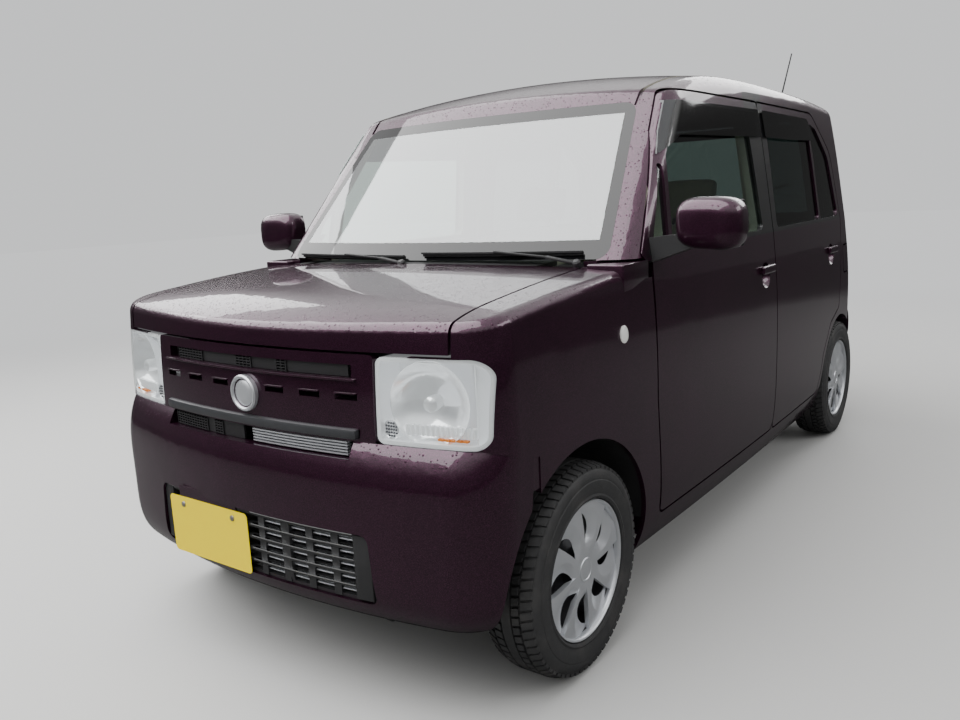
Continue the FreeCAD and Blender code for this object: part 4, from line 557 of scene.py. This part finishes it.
# Grille: lattices stand in the slots, silver fins in the left half of the lower one, a satin bar runs over it.
# Six small ledges and a plain ring round the bare boss sit on the painted panel.
def bowed_bar(shape, x0, x1, z0, z1, setback, depth, bevel=0.0, segments=16):
    """Adds a bar that follows the bow of the front."""
    bar = bmesh.new()
    box(bar, (x0, 0, z0), (x1, depth, z1), bevel)
    if segments > 1:
        long_edges = [edge for edge in bar.edges if abs(edge.verts[0].co.x - edge.verts[1].co.x) > 0.5 * (x1 - x0)]
        bmesh.ops.subdivide_edges(bar, edges=long_edges, cuts=segments - 1, use_grid_fill=True)
    for vert in bar.verts:
        vert.co.y += front_y(vert.co.x, setback)
    mesh = bpy.data.meshes.new("bar")
    bar.to_mesh(mesh)
    bar.free()
    shape.from_mesh(mesh)
    bpy.data.meshes.remove(mesh)


shape = bmesh.new()
for x0, x1 in ((-0.305, -0.190), (-0.040, 0.018), (0.112, 0.145)):
    for z in (0.8395, 0.8465, 0.8535, 0.8605):
        bowed_bar(shape, x0, x1, z, z + 0.0025, 0.053, 0.010, segments=4)
    count = round((x1 - x0) / 0.0145)
    for i in range(count + 1):
        x = x0 + (x1 - x0) * i / count
        bowed_bar(shape, x - 0.0012, x + 0.0012, 0.838, 0.868, 0.053, 0.010, segments=1)
for x0, x1 in ((-0.330, -0.175), (-0.140, -0.105)):
    for z in (0.6535, 0.6605, 0.6675, 0.6745, 0.6815):
        bowed_bar(shape, x0, x1, z, z + 0.0025, 0.038, 0.010, segments=4)
    count = round((x1 - x0) / 0.013)
    for i in range(count + 1):
        x = x0 + (x1 - x0) * i / count
        bowed_bar(shape, x - 0.0012, x + 0.0012, 0.651, 0.688, 0.038, 0.010, segments=1)
for x0, x1, z0, z1, setback in (
        (-0.190, -0.040, 0.839, 0.867, 0.057), (0.018, 0.112, 0.839, 0.867, 0.057),
        (0.145, 0.335, 0.839, 0.867, 0.057), (-0.175, -0.140, 0.651, 0.688, 0.042),
        (-0.105, -0.020, 0.651, 0.688, 0.042)):
    bowed_bar(shape, x0, x1, z0, z1, setback, 0.006, segments=6)
add(shape, "grille_lattices", [black_plastic])
shape = bmesh.new()
for i in range(5):
    z = 0.6545 + i * 0.0073
    bowed_bar(shape, 0.022, 0.335, z, z + 0.0036, 0.036, 0.016, segments=14)
add(shape, "grille_fins", [silver_paint])
shape = bmesh.new()
bowed_bar(shape, -0.366, 0.366, 0.6940, 0.7200, 0.028, 0.021, 0.008, 28)
add(shape, "grille_bar", [satin_black])
shape = bmesh.new()
for way in (-1, 1):
    for middle in (0.105, 0.222, 0.333):
        bowed_bar(shape, way * middle - 0.031, way * middle + 0.031, 0.7995, 0.8035, 0.0405, 0.010, 0.0015, 4)
bowed_bar(shape, -0.364, 0.364, 0.8310, 0.8365, 0.0390, 0.013, 0.002, 28)
add(shape, "grille_ledges", [paint])
RING = [(0.010, 0.047), (-0.001, 0.047), (-0.005, 0.044), (-0.005, 0.040), (-0.001, 0.037), (0.010, 0.037)]
shape = bmesh.new()
turned(shape, RING, (0, NOSE_Y + 0.036, 0.775), (0, 1, 0), 64)
turned(shape, [(-0.0040, 0.0), (-0.0034, 0.016), (-0.0010, 0.030), (0.006, 0.038)], (0, NOSE_Y + 0.036, 0.775),
       (0, 1, 0), 48)
add(shape, "grille_ring", [silver_paint])

# Lower grille of the bumper: bright-edged blades beside the plate, dark uprights between them.
BLADE_TOPS = [0.312 + i * 0.032 for i in range(1, 6)]
shape = bmesh.new()
for z in BLADE_TOPS:
    bowed_bar(shape, 0.012, 0.352, z - 0.0022, z + 0.0004, 0.0080, 0.008, segments=14)
    bowed_bar(shape, -0.395, -0.335, z - 0.0022, z + 0.0004, 0.0080, 0.008, segments=4)
add(shape, "bumper_bright_edges", [chrome])
shape = bmesh.new()
for z in BLADE_TOPS:
    for low in (-0.0225, -0.0145):
        bowed_bar(shape, 0.050, 0.350, z + low, z + low + 0.0035, 0.020, 0.020, segments=12)
add(shape, "bumper_inner_slats", [silver_paint])
shape = bmesh.new()
for x in (0.045, 0.128, 0.212, 0.292):
    bowed_bar(shape, x - 0.011, x + 0.011, 0.306, 0.472, 0.0145, 0.024, segments=1)
for x in (-0.405, 0.352):
    bowed_bar(shape, x, x + 0.050, 0.309, 0.471, 0.0075, 0.022, 0.003, segments=3)
add(shape, "bumper_uprights", [black_plastic])

# Number plates: pressed yellow sheet, blank, 330 by 165 mm, with a raised rim, held by two screws each.
plate_yellow = plain("plate_yellow", colour(0.90, 0.68, 0.004), 0.55, 0.0, 120, 0.0001, 0.03)
plate_yellow.over({"Specular IOR Level": 0.12})
PLATE_WIDE, PLATE_TALL = 0.330, 0.165


def number_plate(name, x, y, z, way, body):
    """A blank plate whose face looks along way, -1 for the front and 1 for the rear."""
    shape = bmesh.new()
    made = bmesh.ops.create_grid(shape, x_segments=1, y_segments=1, size=0.5)["verts"]
    bmesh.ops.scale(shape, vec=(PLATE_WIDE, PLATE_TALL, 1), verts=made)
    bmesh.ops.bevel(shape, geom=list(shape.verts), offset=0.012, segments=6, profile=0.5, affect="VERTICES",
                    material=-1)
    face = max(shape.faces, key=lambda one: one.calc_area())
    bmesh.ops.inset_region(shape, faces=[face], thickness=0.004, depth=0.0)
    bmesh.ops.inset_region(shape, faces=[face], thickness=0.003, depth=0.0016)
    bmesh.ops.inset_region(shape, faces=[face], thickness=0.003, depth=-0.0016)
    bmesh.ops.solidify(shape, geom=list(shape.faces), thickness=0.0012)
    bmesh.ops.recalc_face_normals(shape, faces=shape.faces)
    upright = Matrix.Rotation(math.radians(90), 4, "X")
    if way > 0:
        upright = Matrix.Rotation(math.pi, 4, "Z") @ upright
    bmesh.ops.transform(shape, matrix=Matrix.Translation((x, y, z)) @ upright, verts=shape.verts)
    add(shape, name, [plate_yellow], body)
    screws = bmesh.new()
    for dx in (-0.105, 0.105):
        turned(screws, [(0.0045, 0.0), (0.0042, 0.004), (0.0025, 0.0075), (0.0, 0.0085)],
               (x + dx, y, z + PLATE_TALL / 2 - 0.022), (0, way, 0), 16)
    add(screws, name + "_screws", [bare_metal], body)


number_plate("front_plate", -0.165, -1.6916, 0.3795, -1, "root")
number_plate("rear_plate", 0.0, 1.6516, 0.8195, 1, "hatch")

# Tyres: black rubber, 155 wide, with a ribbed tread, two rows of blocks each side and rings on the wall.
# Road dust lies on it in soft patches.
rubber = Finish("tyre_rubber", {})
dust = rubber.noise(14, 4).rise(0.45, 0.75) * 0.35
rubber.over({
    "Base Color": rubber.mix(dust, colour(0.026, 0.026, 0.027), colour(0.075, 0.071, 0.067)),
    "Roughness": rubber.noise(60, 3) * 0.2 + 0.58,
    "Normal": rubber.bump(rubber.noise(420, 3), 0.0006),
})
WALL = [
    (0.0640, 0.1850), (0.0735, 0.1870), (0.0765, 0.1930), (0.0742, 0.1985), (0.0752, 0.2030), (0.0775, 0.2200),
    (0.0772, 0.2330), (0.0756, 0.2350), (0.0756, 0.2375), (0.0762, 0.2395), (0.0735, 0.2520), (0.0690, 0.2610),
    (0.0610, 0.2670), (0.0480, 0.2710), (0.0145, 0.2720), (0.0135, 0.2783), (0.0, 0.2785),
]
TYRE_PROFILE = WALL + [(-along, out) for along, out in reversed(WALL[:-1])]
BLOCKS = 68
BLOCK_ROWS = [(0.0180, 0.0375, 0.2783, 0.0), (0.0430, 0.0690, 0.2772, 0.5)]
WHEELS = [
    ("front_left", 1, FRONT_HUB_Y), ("front_right", -1, FRONT_HUB_Y), ("rear_left", 1, REAR_HUB_Y),
    ("rear_right", -1, REAR_HUB_Y),
]
for corner, side, hub_y in WHEELS:
    hub = Vector((side * HUB_X, hub_y, HUB_Z))
    shape = bmesh.new()
    turned(shape, TYRE_PROFILE, hub, (side, 0, 0), 96)
    for inner, outer, top, shift in BLOCK_ROWS:
        for way in (-1, 1):
            for i in range(BLOCKS):
                made = box(shape, (way * inner if way > 0 else -outer, -0.0093, 0.262),
                           (outer if way > 0 else -inner, 0.0093, top))
                for vert in made:
                    if abs(vert.co.x) > 0.06:
                        vert.co.z -= 0.0085 if vert.co.z > 0.27 else 0.004
                        vert.co.y *= 0.96
                    vert.co.y += (abs(vert.co.x) - 0.04) * 0.25
                angle = (i + shift) * 2 * math.pi / BLOCKS
                place = Matrix.Translation(hub) @ Matrix.Rotation(angle, 4, "X")
                bmesh.ops.transform(shape, matrix=place, verts=made)
    tyre = add(shape, "tyre_tread_" + corner, [rubber], "wheel_" + corner)
    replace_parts(tyre, "tyre_" + corner)

# Wheels: steel rims behind silver plastic covers. A cover has eight flat arms that leave a flat middle, each
# with a bright wedge that falls away on one side and a leaf-shaped hole before the next arm's wall.
ARMS = 8
FLAT_R, HOLE_TIP_R, COVER_R = 0.066, 0.158, 0.176
HOLE_WIDTH = math.radians(19)
WEDGE_DROP, WEDGE_RUN = 0.013, 0.035
ARM_FACE, ARM_CROWN, ARM_THICK = 0.0605, 0.0040, 0.0020
ARM_LEAN = math.radians(5)
RINGS_OF_POINTS = 22
# Points across an arm's share of the circle: how far along, and how much of the wedge's drop is reached.
ACROSS = [(0.0, 1.0), (0.004, 0.0), (0.15, 0.0), (0.30, 0.0), (0.44, 0.0), (0.46, 0.04), (0.60, 0.30), (0.80, 0.65),
          (1.0, 1.0)]
RIM = [(-0.075, 0.1825), (-0.075, 0.1760), (-0.060, 0.1700), (0.020, 0.1640), (0.046, 0.1700), (0.052, 0.1740)]
DISC = [(0.022, 0.1660), (0.012, 0.1500), (0.012, 0.0800), (0.026, 0.0600), (0.026, 0.0)]
COVER_LIP = [
    (0.0480, 0.1745), (0.0600, 0.1750), (0.0655, 0.1768), (0.0690, 0.1795), (0.0700, 0.1822), (0.0660, 0.1836),
    (0.0560, 0.1836),
]
CENTRE_CAP = [(0.0560, 0.0330), (0.0625, 0.0322), (0.0650, 0.0300), (0.0650, 0.0270), (0.0635, 0.0255),
              (0.0640, 0.0140), (0.0645, 0.0)]
for corner, side, hub_y in WHEELS:
    hub = Vector((side * HUB_X, hub_y, HUB_Z))
    body = "wheel_" + corner
    shape = bmesh.new()
    for i in range(ARMS):
        made = bmesh.ops.create_grid(shape, x_segments=RINGS_OF_POINTS, y_segments=len(ACROSS) - 1, size=0.5)["verts"]
        for vert in made:
            reach = (vert.co.x + 0.5) * COVER_R
            share, drop = ACROSS[round((vert.co.y + 0.5) * (len(ACROSS) - 1))]
            open_part = max(0.0, min(1.0, (reach - FLAT_R) / (HOLE_TIP_R - FLAT_R)))
            hole = HOLE_WIDTH * math.sin(math.pi * open_part ** 0.8) ** 0.7
            depth = WEDGE_DROP * max(0.0, min(1.0, (reach - FLAT_R * 0.8) / WEDGE_RUN))
            angle = ARM_LEAN * reach / COVER_R + share * (2 * math.pi / ARMS - hole) + i * 2 * math.pi / ARMS
            high = ARM_FACE + ARM_CROWN * math.sin(math.pi * reach / COVER_R) - depth * drop
            vert.co = hub + Vector((side * high, side * math.cos(angle) * reach, math.sin(angle) * reach))
    bmesh.ops.remove_doubles(shape, verts=shape.verts, dist=0.0002)
    bmesh.ops.recalc_face_normals(shape, faces=shape.faces)
    bmesh.ops.solidify(shape, geom=list(shape.faces), thickness=ARM_THICK)
    turned(shape, COVER_LIP, hub, (side, 0, 0), 96)
    turned(shape, CENTRE_CAP, hub, (side, 0, 0), 64)
    cover = add(shape, "wheel_cover_" + corner, [silver_paint], body)
    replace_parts(cover, "wheel_" + corner)
    shape = bmesh.new()
    turned(shape, RIM, hub, (side, 0, 0), 96)
    turned(shape, DISC, hub, (side, 0, 0), 64)
    add(shape, "steel_rim_" + corner, [dark_steel], body)

# Corners: the wing closed up to the windscreen pillar and the door's edge, and its flange at the bumper's end.
FLANGE_LOW, FLANGE_HIGH = Vector((0.684, -1.436, 0.562)), Vector((0.7085, -1.386, 0.658))
CORNER_LOW, CORNER_HIGH = Vector((0.600, -0.966, 0.965)), Vector((0, -0.811, 1.0385))
CORNER_BELOW_SKIN = 0.0015
shape = bmesh.new()
for way in (-1, 1):
    xs = sorted((way * FLANGE_LOW.x, way * FLANGE_HIGH.x))
    box(shape, (xs[0], *FLANGE_LOW.yz), (xs[1], *FLANGE_HIGH.yz), 0.002, 1)
    skin, _, _, _ = wing_surface.ray_cast(Vector((way, -0.885, 0.960)), Vector((-way, 0, 0)))
    xs = sorted((way * CORNER_LOW.x, skin.x - way * CORNER_BELOW_SKIN))
    box(shape, (xs[0], *CORNER_LOW.yz), (xs[1], *CORNER_HIGH.yz), 0.005, 3)
add(shape, "wing_corners", [paint])

# Wipers: two black blades lie along the foot of the windscreen, each on an arm from its spindle in the cowl.
def screen_place(x, z, lift):
    """A place on the windscreen, lifted off it along the way it looks."""
    return Vector((x, NOSE_Y + 0.712 + (z - BELT_Z) * 0.887 + 0.075 * (x / 0.6) ** 2 - lift * 0.75, z + lift * 0.66))


WIPERS = [(-0.560, -0.030, 1.052, -0.020, 1.030), (0.040, 0.560, 1.060, 0.560, 1.028)]
shape = bmesh.new()
for x0, x1, z, spindle_x, spindle_z in WIPERS:
    count = 8
    for i in range(count):
        xa, xb = (x0 + (x1 - x0) * k / count for k in (i, i + 1))
        rod(shape, screen_place(xa, z, 0.006), screen_place(xb + 0.002, z, 0.006), 0.006, 0.010)
        rod(shape, screen_place(xa, z, 0.014), screen_place(xb + 0.002, z, 0.014), 0.010, 0.005)
    middle = screen_place((x0 + x1) / 2, z, 0.020)
    foot = screen_place(spindle_x, spindle_z, 0.018)
    bend = foot.lerp(middle, 0.35) + Vector((0, -0.004, 0.006))
    rod(shape, foot, bend, 0.018, 0.009, 0.003)
    rod(shape, bend, middle, 0.012, 0.006, 0.002)
    turned(shape, [(0.010, 0.0), (0.009, 0.008), (0.004, 0.012), (-0.022, 0.013)], foot, (0, -0.5, 1), 20)
add(shape, "wipers", [black_plastic])

# Door mirrors: a rounded plum shell on a short black foot, its glass set back in the rear face.
# The shell is a block whose corners are drawn in by a power, closed behind by a dark rim.
MIRROR_MIDDLE, MIRROR_SIZE = Vector((0.862, -0.742, 1.130)), Vector((0.186, 0.118, 0.150))
ROUNDNESS = 3.4
for side, way in (("left", 1), ("right", -1)):
    body = body_of["mirror_" + side]
    shape = bmesh.new()
    ball = bmesh.ops.create_icosphere(shape, subdivisions=4, radius=1.0)["verts"]
    for vert in ball:
        unit = vert.co.normalized()
        reach = sum(abs(part) ** ROUNDNESS for part in unit) ** (-1 / ROUNDNESS)
        unit = unit * reach
        tall = 1.0 - 0.16 * (1 - unit.x) / 2 if unit.z < 0 else 1.0 - 0.06 * (unit.x + 1) / 2
        place = Vector((unit.x, max(unit.y, -0.98) if unit.y < 0 else min(unit.y, 0.60), unit.z * tall))
        vert.co = Vector((way * (MIRROR_MIDDLE.x + place.x * MIRROR_SIZE.x / 2),
                          MIRROR_MIDDLE.y + place.y * MIRROR_SIZE.y / 2, MIRROR_MIDDLE.z + place.z * MIRROR_SIZE.z / 2))
    bmesh.ops.recalc_face_normals(shape, faces=shape.faces)
    shell = add(shape, "mirror_shell_" + side, [paint], body)
    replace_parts(shell, "mirror_" + side)
    shape = bmesh.new()
    foot = bmesh.ops.create_cube(shape, size=1)["verts"]
    for vert in foot:
        at_door = vert.co.x < 0
        vert.co = Vector((way * (0.700 if at_door else 0.820), -0.750 + vert.co.y * (0.075 if at_door else 0.050),
                          (1.062 if at_door else 1.088) + vert.co.z * (0.070 if at_door else 0.040)))
    bmesh.ops.recalc_face_normals(shape, faces=shape.faces)
    rim_x = sorted((way * 0.786, way * 0.938))
    box(shape, (rim_x[0], -0.7085, 1.068), (rim_x[1], -0.702, 1.192), 0.003, 1)
    add(shape, "mirror_foot_" + side, [black_plastic], body)
    glass_node = frame["nodes"]["mirror_glass_" + side]
    pane = bmesh.new()
    pane_x = sorted((way * 0.794, way * 0.930))
    box(pane, (pane_x[0], -0.7030, 1.076), (pane_x[1], -0.7005, 1.184), 0.001, 1)
    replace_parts(add(pane, "mirror_pane_" + side, [chrome], body), "mirror_glass_" + side)

# Tail lamps: red covers from the belt down to the bumper, with an amber and a clear field, and ribs behind.
tail_red = Finish("tail_lamp_red", {"Roughness": 0.12, "Coat Weight": 1.0, "Coat Roughness": 0.02})
x, y, z = tail_red.parts(tail_red.along())
ribs = (z * 190).math("SINE") * 0.5 + 0.5
red = tail_red.mix(ribs * 0.5, colour(0.34, 0.006, 0.010), colour(0.52, 0.03, 0.03))
with_amber = tail_red.mix(z.between(0.862, 0.925), red, colour(0.62, 0.20, 0.015))
with_clear = tail_red.mix(z.between(0.795, 0.858), with_amber, colour(0.62, 0.62, 0.60))
tail_red.over({"Base Color": with_clear, "Normal": tail_red.bump(ribs, 0.0008)})
panel("tail_lamps", tail_red)

# Seats: foam under a pale ribbed cloth, each cushion and back crowned and drawn in at its piping.
# They stand on the solids' own places; the front ones have head rests on two steel pins.
cloth = Finish("seat_cloth", {"Roughness": 0.92, "Specular IOR Level": 0.15, "Sheen Weight": 0.3})
x, y, z = cloth.parts(cloth.along())
weave = (x * 900).math("SINE") * (z * 900).math("SINE") * 0.5 + cloth.noise(500, 2) * 0.6
cloth.over({
    "Base Color": cloth.mix(cloth.noise(60, 4) * 0.6, colour(0.36, 0.345, 0.285), colour(0.26, 0.25, 0.205)),
    "Normal": cloth.bump(weave, 0.0006),
})
CUSHION_STEPS = 14


def cushion(name, foot, top, x0, x1, thick, seams):
    """A pad from foot to top, both (y, z), as wide as x0 to x1, crowned by its thickness, with sewn channels."""
    foot, top = Vector((0, *foot)), Vector((0, *top))
    along_pad = (top - foot).normalized()
    out = Vector((1, 0, 0)).cross(along_pad)
    shape = bmesh.new()
    bmesh.ops.create_cube(shape, size=2)
    bmesh.ops.subdivide_edges(shape, edges=list(shape.edges), cuts=CUSHION_STEPS, use_grid_fill=True)
    half_wide, half_tall = (x1 - x0) / 2, (top - foot).length / 2
    for vert in shape.verts:
        u, v, w = vert.co
        crown = (1 - abs(u) ** 4) * (1 - abs(v) ** 4)
        corner = 1 - 0.055 * (u * u * v * v) - 0.030 * w * w
        sewn = sum(math.exp(-((v - seam) / 0.035) ** 2) for seam in seams) * (1 - abs(u) ** 6)
        depth = w * thick / 2 * (0.55 + 0.45 * crown ** 0.6) - (0.012 * sewn if w > 0.9 else 0)
        side_pull = 1 - 0.025 * (1 - v * v)
        vert.co = (Vector(((x0 + x1) / 2 + u * half_wide * corner * (1 if abs(u) < 0.99 else side_pull), 0, 0))
                   + foot.lerp(top, 0.5) + along_pad * v * half_tall * corner + out * depth)
    bmesh.ops.recalc_face_normals(shape, faces=shape.faces)
    pad = add(shape, name, [cloth], "root")
    smooth = pad.modifiers.new("soft", "SUBSURF")
    smooth.levels = smooth.render_levels = 1


PAN_Z, SEAT_X = 0.234, 0.345
CUSHION_HALF, BACK_HALF, REST_HALF = 0.243, 0.233, 0.118
for x, mark in ((-SEAT_X, "right"), (SEAT_X, "left")):
    cushion("front_cushion_" + mark, (0.180, PAN_Z + 0.235), (-0.325, PAN_Z + 0.262),
            x - CUSHION_HALF, x + CUSHION_HALF, 0.165, (-0.35, 0.35))
    cushion("front_back_" + mark, (0.140, PAN_Z + 0.275), (0.302, 1.080),
            x - BACK_HALF, x + BACK_HALF, 0.105, (-0.45, 0.1, 0.6))
    cushion("head_rest_" + mark, (0.300, 1.108), (0.354, 1.250), x - REST_HALF, x + REST_HALF, 0.085, ())
shape = bmesh.new()
for x in (-SEAT_X, SEAT_X):
    for dx in (-0.05, 0.05):
        rod(shape, (x + dx, 0.298, 1.04), (x + dx, 0.326, 1.14), 0.011, 0.011, 0.004)
    for dx in (-0.18, 0.18):
        rod(shape, (x + dx, -0.28, PAN_Z + 0.07), (x + dx, 0.17, PAN_Z + 0.07), 0.036, 0.13, 0.006)
seat_frames = add(shape, "seat_frames", [dark_steel])
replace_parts(seat_frames, "front_seats")
REAR_PAN_TOP = 0.402
shape = bmesh.new()
box(shape, (-0.51, 0.64, REAR_PAN_TOP), (0.51, 1.07, REAR_PAN_TOP + 0.05), 0.01)
rear_base = add(shape, "rear_seat_base", [dark_trim])
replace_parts(rear_base, "rear_seat")
for x0, x1, mark in ((-0.518, -0.009, "right"), (0.009, 0.518, "left")):
    cushion("rear_cushion_" + mark, (1.075, 0.480), (0.598, 0.495), x0, x1, 0.130, (-0.3, 0.3))
    cushion("rear_back_" + mark, (1.080, 0.520), (1.225, 1.045), x0, x1, 0.120, (-0.4, 0.2))

# Dashboard: a dark strip with round outlets, the meter hood before the wheel and a centre panel.
shape = bmesh.new()
box(shape, (-0.600, -0.618, 0.880), (0.600, -0.586, 0.905), 0.006)
box(shape, (-0.110, -0.615, 0.690), (0.110, -0.580, 0.875), 0.012, 3)
box(shape, (-0.445, -0.700, 0.985), (-0.215, -0.585, 1.030), 0.020, 4)
add(shape, "dash_trim", [dark_trim])
shape = bmesh.new()
for x in (-0.560, -0.165, 0.165, 0.560):
    turned(shape, [(0.006, 0.0), (0.004, 0.022), (0.0, 0.030), (-0.006, 0.036), (-0.014, 0.038), (0.020, 0.040)],
           (x, -0.583, 0.940), (0, -1, 0), 32)
add(shape, "dash_outlets", [satin_black])

# Rear: the hatch's wiper, a black blade on an arm from a spindle at the foot of its glass.
shape = bmesh.new()
rod(shape, (-0.02, 1.658, 1.075), (0.20, 1.640, 1.170), 0.012, 0.008, 0.002)
rod(shape, (0.03, 1.648, 1.120), (0.36, 1.624, 1.215), 0.006, 0.012, 0.001)
turned(shape, [(0.014, 0.0), (0.012, 0.012), (0.0, 0.016), (-0.012, 0.016)], (-0.02, 1.652, 1.075), (0, 1, 0.1), 20)
add(shape, "rear_wiper", [black_plastic], "hatch")
